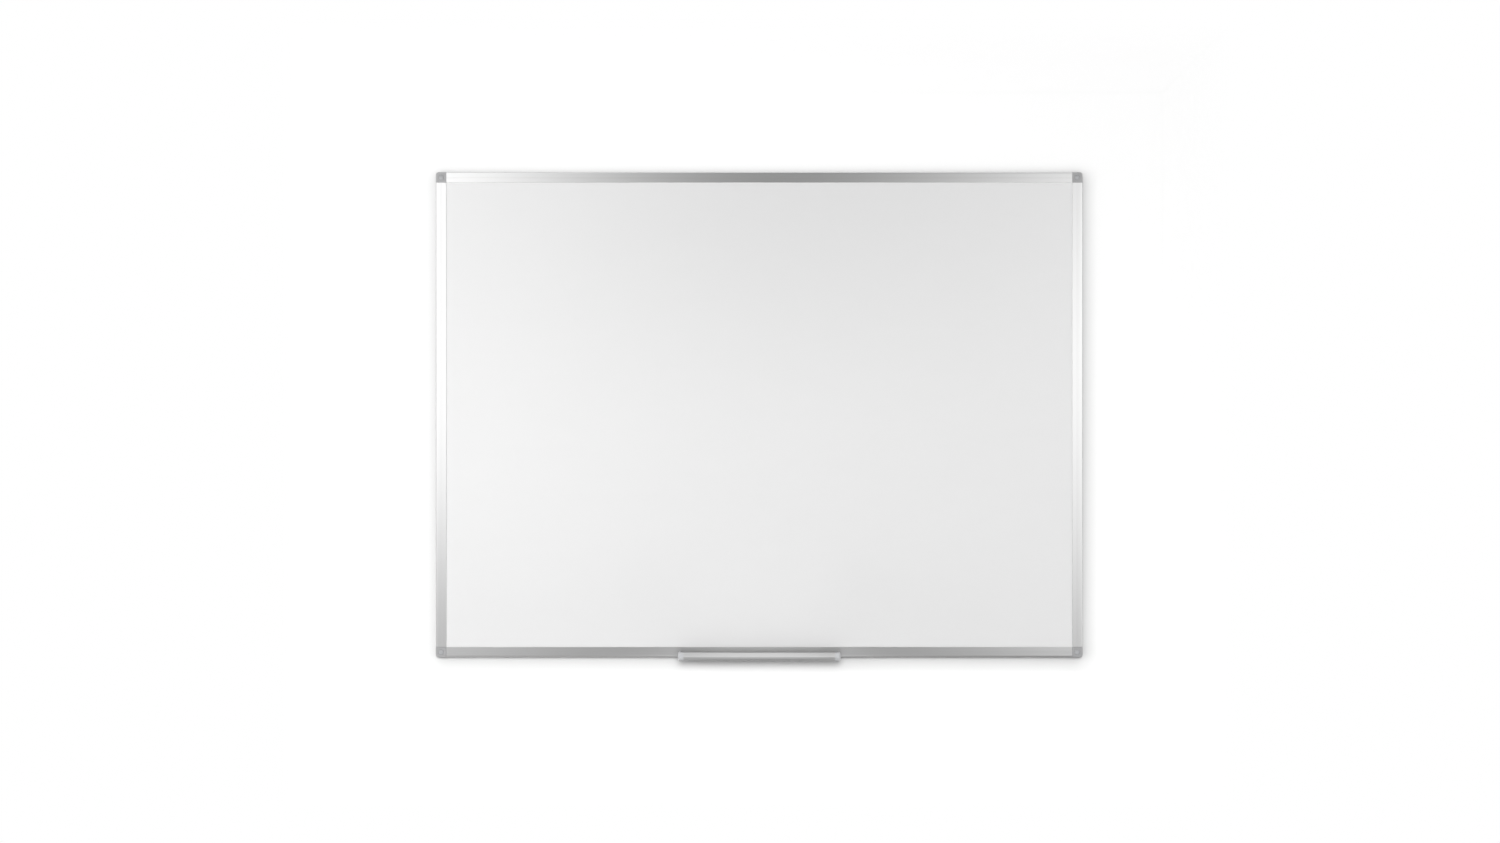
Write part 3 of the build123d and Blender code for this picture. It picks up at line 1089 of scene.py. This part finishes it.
@dataclass(frozen=True)
class CrossScrew:
    """A small countersunk screw with a cross recess, drawn head up from the head's top at zero."""

    radius: float
    head_radius: float
    length: float
    tip_share: float = 0.05
    cross_width: float = 0.55
    cross_depth: float = 0.6
    cross_share: float = 0.62
    cross_floor_share: float = 0.8

    def draw(self, bm: BMesh, place: Matrix) -> None:
        """Add one screw to a mesh.

        Args:
            bm: Mesh that gets the screw.
            place: Where the head's top goes, with the local Z out of the head.
        """
        screw = bmesh.new()
        head = bmesh.ops.create_circle(
            screw, cap_ends=False, segments=SCREW_SEGMENTS, radius=self.head_radius
        )
        rim = edges_among(screw, head["verts"])
        edges = rim + self.cross(screw)
        bmesh.ops.triangle_fill(screw, use_beauty=True, use_dissolve=False, edges=edges, normal=Z_AXIS)
        cone = self.head_radius - self.radius
        tip = carry_ring(
            screw, rim, Vector(), -Z_AXIS, self.head_radius,
            (self.radius, cone),
            (self.radius, self.length - cone - self.radius),
            (self.radius * self.tip_share, self.radius),
        )
        bmesh.ops.edgeloop_fill(screw, edges=tip)
        bmesh.ops.recalc_face_normals(screw, faces=screw.faces)
        bmesh.ops.transform(screw, matrix=place, verts=screw.verts)
        part = bpy.data.meshes.new("one screw")
        screw.to_mesh(part)
        screw.free()
        bm.from_mesh(part)
        bpy.data.meshes.remove(part)

    def cross(self, screw: BMesh) -> list[BMEdge]:
        """Draw the cross recess with its walls and floor.

        Args:
            screw: Mesh of the screw.

        Returns:
            The edges of the recess at the head's top.
        """
        half = self.cross_width / 2
        square = bmesh.ops.create_grid(screw, x_segments=1, y_segments=1, size=half)
        reach = self.head_radius * self.cross_share - half
        for edge in edges_among(screw, square["verts"]):
            outward = (edge.verts[0].co + edge.verts[1].co).normalized()
            tip = of_kind(bmesh.ops.extrude_edge_only(screw, edges=[edge])["geom"], BMVert)
            bmesh.ops.translate(screw, verts=tip, vec=outward * reach)
        arms = list(screw.faces)
        top = [edge for edge in screw.edges if edge.is_boundary]
        sunk = of_kind(bmesh.ops.extrude_face_region(screw, geom=arms)["geom"], BMVert)
        bmesh.ops.delete(screw, geom=[arm for arm in arms if arm.is_valid], context="FACES")
        bmesh.ops.translate(screw, verts=sunk, vec=(0, 0, -self.cross_depth))
        bmesh.ops.scale(screw, vec=(self.cross_floor_share, self.cross_floor_share, 1), verts=sunk)
        return [edge for edge in edges_at(screw, 0) if edge in top]


@dataclass
class RailScrews:
    """The eight screws that hold the rails to the arms of the corner blocks, from behind."""

    screw: CrossScrew = CrossScrew(radius=1.45, head_radius=2.6, length=9.0)
    inset: float = FrameRails.screw_inset
    middle: float = FrameRails.screw_middle
    sink: float = 0.05

    def build(self) -> None:
        """Build and dress the screws as one group."""
        bm = bmesh.new()
        for side in Side:
            edge, length, _, _ = side.rail()
            for along in around(0, length - 2 * self.inset):
                spot = edge + side.inward * self.middle + side.along * along + FORWARD * self.sink
                self.screw.draw(bm, axes_matrix(side.along, -side.inward, -FORWARD, spot))
        finish = ZincPlate().material()
        hand_over(bm, Matrix(), "rail_fixing_screws", "board", "rail_screws", finish)


class WritingPanel:
    """The three layers of the panel, which keep their exact solids and get their finishes."""

    def build(self) -> None:
        """Dress the white sheet, the core and the backing sheet."""
        dress_node("writing_sheet", LacqueredSteel().material())
        dress_node("core_board", Fibreboard().material())
        dress_node("backing_sheet", GalvanisedSteel().material())


@dataclass
class PenTray:
    """The sliding tray; its section's X runs forward from the wall, its Y up from under the bottom rail."""

    screw: CrossScrew = CrossScrew(radius=1.1, head_radius=2.1, length=4.0)
    wall: float = 1.4
    gap: float = 0.3
    dip: float = 1.8
    wall_gap: float = 2.0
    trough_back: float = 17.6
    lip_height: float = 11.0
    lip_lean: float = 0.8
    bead_radius: float = 1.2
    bead_drop_share: float = 0.95
    bead_top_share: float = 0.98
    bead_under_share: float = 0.6
    front_radius: float = 8.0
    front_segments: int = 14
    curve_start_share: float = 0.5
    curve_steps: int = 14
    step_run: float = 1.5
    rib_count: int = 3
    rib_width: float = 1.2
    rib_height: float = 0.7
    port_radius: float = 1.3
    port_wall: float = 1.0
    port_steps: int = 12
    boss_share: float = 0.97
    boss_steps: int = 20
    easing: float = 0.15
    slot_middle: float = FrameRails.slot_middle
    screw_from_end: float = 30.0
    screw_spacing: float = 16.0
    screw_sink: float = 0.05
    hole_wide: float = 2.15
    hole_narrow: float = 1.15

    def build(self) -> None:
        """Build and dress the tray's pieces."""
        self.channel()
        self.screws()
        self.small_parts()

    @property
    def under_behind(self) -> float:
        """Height of the floor's underside behind the trough."""
        return -self.gap - self.wall

    @property
    def floor_top(self) -> float:
        """Height of the trough's floor."""
        return -self.gap - self.dip

    @property
    def floor_under(self) -> float:
        """Height of the trough's underside."""
        return self.floor_top - self.wall

    @property
    def lean(self) -> float:
        """Angle by which the lip leans forward."""
        return atan2(self.lip_lean, self.lip_height - self.floor_under)

    def lip_outer(self, height: float) -> float:
        """Distance from the wall of the lip's outer face at a height."""
        return -box_in_mm("tray_channel")[0].y - (self.lip_height - height) * tan(self.lean)

    def lip_inner(self, height: float) -> float:
        """Distance from the wall of the lip's inner face at a height."""
        return self.lip_outer(height) - self.wall / cos(self.lean)

    def ports(self) -> tuple[tuple[float, float], tuple[float, float]]:
        """Find the ports that take the end caps' pegs.

        Returns:
            Centres of the front and back ports.
        """
        height = self.floor_under + self.port_radius + self.port_wall
        front = self.lip_outer(self.floor_under) - self.front_radius
        return (front, height), (self.trough_back + self.port_radius + self.port_wall, height)

    def section(self, bm: BMesh) -> None:
        """Draw the channel's outline, from the back of the floor round the lip's bead and back.

        Args:
            bm: Mesh to draw in.
        """
        front, back = self.ports()
        boss = self.port_radius + self.port_wall
        step = self.trough_back - self.wall
        top, bead = self.lip_outer(self.lip_height), 2 * self.bead_radius
        bead_low = self.lip_height - self.bead_radius * (1 + self.bead_drop_share)
        rounding = self.bead_radius * self.bead_top_share
        pen = Pen(bm)
        pen.corners(
            (self.wall_gap, self.under_behind),
            (step, self.under_behind),
            (step + self.step_run, self.floor_under),
            (self.lip_outer(self.floor_under), self.floor_under, self.front_radius),
            (top, self.lip_height, rounding),
            (top - bead, self.lip_height, rounding),
            (top - bead, bead_low, self.bead_radius * self.bead_under_share),
            (self.lip_inner(bead_low), bead_low),
        )
        # The inner curve of the front runs down to the side of the front port's boss
        radius = self.front_radius - self.wall
        centre = (self.lip_inner(self.floor_top) - radius, self.floor_top + radius)
        start = tan(self.lean) * radius * self.curve_start_share
        pen.corner(centre[0] + radius + start, centre[1])
        meeting = front[0] + boss * self.boss_share
        pen.arc(centre, asin((meeting - centre[0]) / radius) - pi / 2, self.curve_steps)
        self.boss(pen, front, boss, self.boss_share)
        rib_top = self.floor_top + self.rib_height
        for index in reversed(range(self.rib_count)):
            middle = back[0] + (front[0] - back[0]) * (index + 1) / (self.rib_count + 1)
            low, high = around(middle, self.rib_width)
            pen.corners((high, self.floor_top), (high, rib_top), (low, rib_top), (low, self.floor_top))
        self.boss(pen, back, boss, sqrt(1 - ((self.floor_top - back[1]) / boss) ** 2))
        pen.corners((self.trough_back, -self.gap), (self.wall_gap, -self.gap))
        pen.close(self.front_segments, self.easing)

    def boss(self, pen: Pen, centre: tuple[float, float], radius: float, start_share: float) -> None:
        """Draw the round back of a port, from its front foot over the top to its back foot.

        Args:
            pen: Pen that draws the section.
            centre: Centre of the port.
            radius: Outer radius of the boss.
            start_share: How far out the arc starts, as a share of the radius.
        """
        drop = self.floor_top - centre[1]
        begin = -atan2(sqrt(1 - start_share**2), start_share)
        end = pi + atan2(-drop, sqrt(radius**2 - drop**2))
        pen.corner(centre[0] + radius * cos(begin), centre[1] + radius * sin(begin))
        pen.arc(centre, end - begin, self.boss_steps)

    def channel(self) -> None:
        """Build the channel: section, ports, length and the glide screws' holes."""
        low, high = box_in_mm("tray_channel")
        length = high.x - low.x
        bm = bmesh.new()
        self.section(bm)
        down = Vector((0, -self.port_radius, 0))
        turns = [pi * step / self.port_steps for step in range(1, self.port_steps)]
        for port in self.ports():
            centre = Vector((*port, 0))
            sides = [[Matrix.Rotation(way * turn, 3, "Z") @ down for turn in turns] for way in (-1, 1)]
            outline = [[centre + point for point in side] for side in sides]
            cut_hollow(bm, centre + down, centre - down, outline)
        extrude_section(bm, length)
        for along in self.screw_places():
            spot = Vector((self.slot_middle, self.under_behind, length / 2 - along))
            countersink(bm, spot, self.wall, self.hole_wide, self.hole_narrow)
        rail_under = box_in_mm("rail_bottom")[0].z
        place = axes_matrix(FORWARD, Z_AXIS, -X_AXIS, Vector((high.x, 0, rail_under)))
        finish = AnodisedAluminium("satin anodised aluminium, pen tray").material()
        hand_over(bm, place, "pen_tray_channel", "tray", "tray_channel", finish)

    def screw_places(self) -> list[float]:
        """Places of the four glide screws along the tray, from its middle."""
        middle = box_in_mm("tray_end_cap_right")[1].x - self.screw_from_end
        return [way * place for way in (-1, 1) for place in around(middle, self.screw_spacing)]

    def screws(self) -> None:
        """Build the four small screws under the tray's floor."""
        height = box_in_mm("rail_bottom")[0].z + self.under_behind + self.screw_sink
        bm = bmesh.new()
        for along in self.screw_places():
            spot = Vector((along, -self.slot_middle, height))
            self.screw.draw(bm, axes_matrix(X_AXIS, FORWARD, -Z_AXIS, spot))
        finish = ZincPlate().material()
        hand_over(bm, Matrix(), "glide_fixing_screws", "tray", "tray_glide_screws", finish)

    def small_parts(self) -> None:
        """Dress the end caps and the glides, which keep their solids."""
        gloss = (0.4, 0.3)
        caps = MouldedPlastic("moulded silver-grey ABS", ("#C7C8CA", "#CDCED0"), gloss)
        glides = MouldedPlastic("moulded white acetal", ("#E1E0DA", "#E7E6E0"), gloss, spark_depth=0.01)
        for part, finish in (("end_cap", caps.material()), ("glide", glides.material())):
            for side in ("left", "right"):
                dress_node(f"tray_{part}_{side}", finish)


# Camera and studio


@dataclass
class Photograph:
    """The picture's frame and the board's place in it, in pixels, with a camera so many metres off."""

    width: float = 1500.0
    height: float = 843.0
    board_left: float = 436.0
    board_right: float = 1082.5
    board_top: float = 172.0
    board_bottom: float = 657.5
    camera_distance: float = 8.0
    sensor: float = 36.0

    def camera(self) -> None:
        """Put the camera straight in front, as far off as keeps the view almost flat."""
        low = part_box("corner_block_bottom_left")[0]
        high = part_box("corner_block_top_right")[1]
        pixel = (high.x - low.x) / (self.board_right - self.board_left)
        middle_x = (self.board_left + self.board_right - self.width) / 2
        middle_z = (self.height - self.board_top - self.board_bottom) / 2
        data = bpy.data.cameras.new("camera")
        data.sensor_width = self.sensor
        data.lens = self.sensor * self.camera_distance / (self.width * pixel)
        camera = new_object("camera", data)
        camera.location = (-middle_x * pixel, low.y - self.camera_distance, -middle_z * pixel)
        camera.rotation_euler = (pi / 2, 0, 0)
        bpy.context.scene.camera = camera


@dataclass(frozen=True)
class Lamp:
    """One square soft box, with its places and size in metres and its power in watts."""

    name: str
    place: tuple[float, float, float]
    aim: tuple[float, float, float]
    size: float
    power: float

    def hang(self) -> None:
        """Add the lamp; neither the camera nor a mirror sees it, only what it lights."""
        data = bpy.data.lights.new(self.name, "AREA")
        data.shape = "SQUARE"
        data.size = self.size
        data.energy = self.power
        lamp = new_object(self.name, data)
        lamp.location = self.place
        lamp.rotation_euler = (Vector(self.aim) - Vector(self.place)).to_track_quat("-Z", "Y").to_euler()
        lamp.visible_camera = False
        lamp.visible_glossy = False


@dataclass(frozen=True)
class Grade:
    """Brightness along one axis, as stops of place in metres and level."""

    stops: tuple[tuple[float, float], ...]

    def feed(self, tree: NodeTree, place: NodeSocket) -> Node:
        """Turn a place into its level.

        Args:
            tree: Nodes of the material.
            place: Coordinate along the axis, in metres.

        Returns:
            A node whose first output is the level at that place.
        """
        low, high = self.stops[0][0], self.stops[-1][0]
        most = max(level for _, level in self.stops)
        share = add_node(tree, "MapRange", {"Value": place, "From Min": low, "From Max": high})
        ramp = add_node(tree, "ValToRGB", {"Fac": share})
        elements = ramp.color_ramp.elements
        for where, _ in self.stops[1:-1]:
            elements.new((where - low) / (high - low))
        for element, (_, level) in zip(elements, self.stops):
            element.color = (level / most,) * 3 + (1.0,)
        return add_node(tree, "Math", {0: ramp, 1: most}, operation="MULTIPLY")

    def lay_over(self, tree: NodeTree, place: NodeSocket, under: Node, share: Node) -> Node:
        """Lay this grade over another level.

        Args:
            tree: Nodes of the material.
            place: Coordinate along the axis, in metres.
            under: Node that gives the level below.
            share: Node that gives how much this grade covers it, from 0 to 1.

        Returns:
            A node whose first output is the level of both.
        """
        both = {"Factor": share, "A": under, "B": self.feed(tree, place)}
        return add_node(tree, "Mix", both, data_type="FLOAT")


# Stops that the grades of the card's middle share, from a little above the tray to the top rail
OVER_TRAY = ((-0.26, 0.9), (0.0, 1.2), (0.22, 0.7), (0.38, 0.33), (0.6, 0.31))


@dataclass
class Studio:
    """White wall, pale floor, soft lamps and a graded card that the metal mirrors, all sized in metres."""

    wall_gap: float = 0.0005
    wall_margin: float = 0.6
    wall_inset: float = 0.002
    wall_paint: float = 0.455
    white_from: float = 0.15
    white_by: float = 0.28
    contact_reach: float = 0.03
    contact_lean: tuple[float, float, float] = (-0.08, -1.0, 0.55)
    contact_shares: tuple[float, float] = (0.42, 0.62)
    contact_samples: int = 32
    sun_strength: float = 4.2
    sun_width: float = radians(20)
    sun_height: float = radians(11.5)
    floor_height: float = -1.3
    floor_size: float = 9.0
    floor_paint: str = "#E9E9E9"
    card_distance: float = 0.8
    card_half_width: float = 1.2
    card_low: float = -1.1
    card_lowest: float = -1.28
    card_high: float = 1.4
    card_middle: float = 0.03
    card_side: float = 0.66
    card_power: float = 1.7
    world_light: float = 0.3
    middle_grade: Grade = Grade(((-1.28, 0.8), (-1.1, 0.3), (-0.56, 0.19), (-0.4, 0.22), *OVER_TRAY))
    lip_grade: Grade = Grade((
        (-1.28, 0.6), (-1.1, 0.4), (-1.06, 0.8), (-0.82, 1.3), (-0.74, 2.0), (-0.63, 2.0), (-0.59, 0.3),
        (-0.56, 0.03), (-0.32, 0.05), *OVER_TRAY,
    ))
    lip_spread: tuple[float, float] = (0.22, 0.06)
    tray_grade: Grade = Grade((
        (-1.28, 0.15), (-1.22, 0.3), (-1.165, 0.72), (-1.11, 0.92), (-0.9, 1.0), (-0.74, 1.3), (-0.63, 1.7),
        (-0.58, 1.2), (-0.55, 0.9), (-0.42, 0.85), *OVER_TRAY,
    ))
    tray_spread: tuple[float, float] = (0.145, 0.02)
    left_grade: Grade = Grade((
        (-1.28, 1.2), (-1.1, 0.4), (-0.54, 0.8), (-0.42, 0.85), (-0.28, 1.28), (-0.15, 1.68), (-0.05, 1.84),
        (0.6, 1.86),
    ))
    right_grade: Grade = Grade((
        (-1.28, 0.7), (-1.1, 0.25), (-0.54, 0.9), (-0.42, 1.12), (-0.3, 1.36), (-0.15, 1.51), (0.05, 1.8),
        (0.17, 1.86), (0.34, 1.7), (0.46, 1.55), (0.6, 1.2),
    ))
    soft_boxes: tuple[Lamp, ...] = (
        Lamp("left soft box", (-2.4, -2.2, -0.1), (-0.1, 0, 0), 1.8, 37),
        Lamp("right soft box", (2.4, -2.4, -0.55), (0.1, 0, 0), 1.6, 18.5),
        Lamp("front soft box", (-0.3, -3.2, -0.3), (0, 0, -0.15), 1.6, 21),
        Lamp("overhead soft box", (0, -1.6, 3.0), (0, 0, 0), 1.6, 3),
        Lamp("back light", (1.2, 2.6, 1.1), (0, 0, 0), 1.8, 60),
    )

    def build(self) -> None:
        """Build the wall, floor, card, lamps and world."""
        self.wall()
        self.floor()
        self.card()
        for lamp in self.soft_boxes:
            lamp.hang()
        self.world()

    def wall(self) -> None:
        """Build the wall round the board, open behind it and there from the front only."""
        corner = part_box("corner_block_bottom_left")[0]
        bm = bmesh.new()
        loops = []
        for grow in (self.wall_margin, -self.wall_inset):
            sheet = bmesh.ops.create_grid(bm, x_segments=1, y_segments=1, size=1)["verts"]
            bmesh.ops.scale(bm, vec=(grow - corner.x, grow - corner.z, 1), verts=sheet)
            loops += edges_among(bm, sheet)
        bmesh.ops.delete(bm, geom=list(bm.faces), context="FACES_ONLY")
        bmesh.ops.bridge_loops(bm, edges=loops)
        upright = Matrix.Translation((0, self.wall_gap, 0)) @ Matrix.Rotation(pi / 2, 4, "X")
        bmesh.ops.transform(bm, matrix=upright, verts=bm.verts)
        bm.normal_update()
        bmesh.ops.reverse_faces(bm, faces=[face for face in bm.faces if face.normal.y > 0])
        sheet = mesh_object(bm, "wall", self.wall_material(-corner.x, -corner.z))
        sheet.visible_diffuse = False
        sheet.visible_glossy = False
        sheet.visible_shadow = False
        self.sun(sheet)

    def wall_material(self, half_width: float, half_height: float) -> Material:
        """Make white paint that the lamps light, with painted shade close to the board, and plain white
        further off.

        Args:
            half_width: Half the board's width.
            half_height: Half the board's height.

        Returns:
            The material.
        """
        material = new_material("white wall paint")
        tree = material.node_tree
        axes = add_node(tree, "SeparateXYZ", {"Vector": add_node(tree, "TexCoord").outputs["Object"]})
        # Past the board's shadow the lit paint goes over into plain white
        far = []
        for axis, half in (("X", half_width), ("Z", half_height)):
            size = add_node(tree, "Math", {0: axes.outputs[axis]}, operation="ABSOLUTE")
            ends = {"From Min": half + self.white_from, "From Max": half + self.white_by}
            far.append(add_node(tree, "MapRange", {"Value": size, **ends}))
        far = add_node(tree, "Math", dict(enumerate(far)), operation="MAXIMUM")
        # The nearest centimetres get painted shade from an occlusion test, on top of the lamps' shadows, most
        # below the board and at its right
        lean = add_node(tree, "CombineXYZ", dict(enumerate(Vector(self.contact_lean).normalized())))
        contact = {"Distance": self.contact_reach, "Normal": lean}
        near = add_node(tree, "AmbientOcclusion", contact, samples=self.contact_samples).outputs["AO"]
        left, right = self.contact_shares
        span = {"From Min": -half_width, "From Max": half_width, "To Min": 1 - left, "To Max": 1 - right}
        darkest = add_node(tree, "MapRange", {"Value": axes.outputs["X"], **span})
        shade = add_node(tree, "MapRange", {"Value": near, "To Min": darkest})
        tone = add_node(tree, "Math", {0: shade, 1: self.wall_paint}, operation="MULTIPLY")
        self.paint_front(tree, tone, far)
        return material

    def sun(self, wall: Object) -> None:
        """Light the wall alone from in front, a little from above, so that the tray's shadow is crisp.

        Args:
            wall: The wall.
        """
        data = bpy.data.lights.new("wall light", "SUN")
        data.energy = self.sun_strength
        data.angle = self.sun_width
        sun = new_object("wall light", data)
        sun.rotation_euler = (pi / 2 - self.sun_height, 0, 0)
        only_wall = bpy.data.collections.new("lit by the wall light")
        only_wall.objects.link(wall)
        sun.light_linking.receiver_collection = only_wall

    @staticmethod
    def in_view(tree: NodeTree) -> Node:
        """Tell rays that show a surface from rays that it lights.

        Args:
            tree: Nodes of the material or world.

        Returns:
            A node that gives one where the camera, a mirror or glass sees the surface, and zero elsewhere.
        """
        path = add_node(tree, "LightPath")
        seen = path.outputs["Is Camera Ray"]
        for kind in ("Is Glossy Ray", "Is Transmission Ray"):
            seen = add_node(tree, "Math", {0: seen, 1: path.outputs[kind]}, operation="MAXIMUM")
        return seen

    @staticmethod
    def paint_front(tree: NodeTree, colour: Node | tuple[float, ...], white_share: Node) -> None:
        """Finish a matte paint that goes over into plain white, and is clear from behind.

        Args:
            tree: The material's nodes.
            colour: The paint's colour, or the node that gives it.
            white_share: Node that gives how much of it is plain white, from 0 to 1.
        """
        paint = add_node(tree, "BsdfDiffuse", {"Color": colour})
        white = add_node(tree, "Emission", {"Strength": 1.0})
        front = add_node(tree, "MixShader", {0: white_share, 1: paint, 2: white})
        behind = add_node(tree, "NewGeometry").outputs["Backfacing"]
        sided = add_node(tree, "MixShader", {0: behind, 1: front, 2: add_node(tree, "BsdfTransparent")})
        add_node(tree, "OutputMaterial", {"Surface": sided})

    def floor(self) -> None:
        """Build the pale floor well below the board, open to a look from below."""
        bm = bmesh.new()
        bmesh.ops.create_grid(bm, x_segments=1, y_segments=1, size=self.floor_size)
        bmesh.ops.translate(bm, verts=bm.verts, vec=(0, 0, self.floor_height))
        material = new_material("pale floor paint")
        tree = material.node_tree
        self.paint_front(tree, linear(self.floor_paint), self.in_view(tree))
        mesh_object(bm, "floor", material)

    def card(self) -> None:
        """Build the card that only reflections see: dim in the middle, bright towards both sides."""
        half, away = self.card_half_width, self.card_distance
        bm = bmesh.new()
        plan = ((-half, 0), (-half, -away), (half, -away), (half, 0))
        foot = [bm.verts.new((x, y, self.card_low)) for x, y in plan]
        edges = [bm.edges.new(pair) for pair in zip(foot, foot[1:])]
        top = of_kind(bmesh.ops.extrude_edge_only(bm, edges=edges)["geom"], BMVert)
        bmesh.ops.translate(bm, verts=top, vec=(0, 0, self.card_high - self.card_low))
        bmesh.ops.contextual_create(bm, geom=top)
        # The bottom falls a little towards the back, so that heights grade it too, and ends behind the wall
        back = [bm.verts.new((x, away, self.card_lowest)) for x in (half, -half)]
        bmesh.ops.contextual_create(bm, geom=[*foot[1:3], *back])
        card = mesh_object(bm, "reflection card", self.card_material())
        card.visible_camera = False
        card.visible_diffuse = False
        card.visible_transmission = False
        card.visible_volume_scatter = False
        card.visible_shadow = False

    def card_material(self) -> Material:
        """Make the card's glow, graded by height and from side to side.

        Returns:
            The material.
        """
        material = new_material("graded reflection card")
        tree = material.node_tree
        axes = add_node(tree, "SeparateXYZ", {"Vector": add_node(tree, "TexCoord").outputs["Object"]})
        across, height = axes.outputs["X"], axes.outputs["Z"]
        size = add_node(tree, "Math", {0: across}, operation="ABSOLUTE")
        level = self.middle_grade.feed(tree, height)
        for grade, (reach, fade) in ((self.lip_grade, self.lip_spread), (self.tray_grade, self.tray_spread)):
            near = add_node(tree, "MapRange", {"Value": size, "From Min": reach + fade, "From Max": reach})
            level = grade.lay_over(tree, height, level, near)
        for grade, reach in ((self.left_grade, -self.card_side), (self.right_grade, self.card_side)):
            span = {"From Min": self.card_middle, "From Max": self.card_middle + reach}
            side = add_node(tree, "MapRange", {"Value": across, **span})
            curve = add_node(tree, "Math", {0: side, 1: self.card_power}, operation="POWER")
            level = grade.lay_over(tree, height, level, curve)
        add_node(tree, "OutputMaterial", {"Surface": add_node(tree, "Emission", {"Strength": level})})
        return material

    def world(self) -> None:
        """Surround all with white for the camera and for reflections, and softer light for surfaces."""
        world = bpy.data.worlds.new("white surround")
        bpy.context.scene.world = world
        world.use_nodes = True
        tree = world.node_tree
        tree.nodes.clear()
        level = add_node(tree, "MapRange", {"Value": self.in_view(tree), "To Min": self.world_light})
        glow = add_node(tree, "Background", {"Color": (1.0, 1.0, 1.0, 1.0), "Strength": level})
        add_node(tree, "OutputWorld", {"Surface": glow})


def main() -> None:
    """Build the board, its studio and its camera."""
    logging.basicConfig(level=logging.INFO, format="%(message)s")
    bpy.context.scene.view_settings.view_transform = "Standard"
    for assembly in (WritingPanel, FrameRails, CornerBlocks, ScrewCaps, RailScrews, PenTray, Studio):
        assembly().build()
    Photograph().camera()
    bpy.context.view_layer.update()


if __name__ == "__main__":
    main()
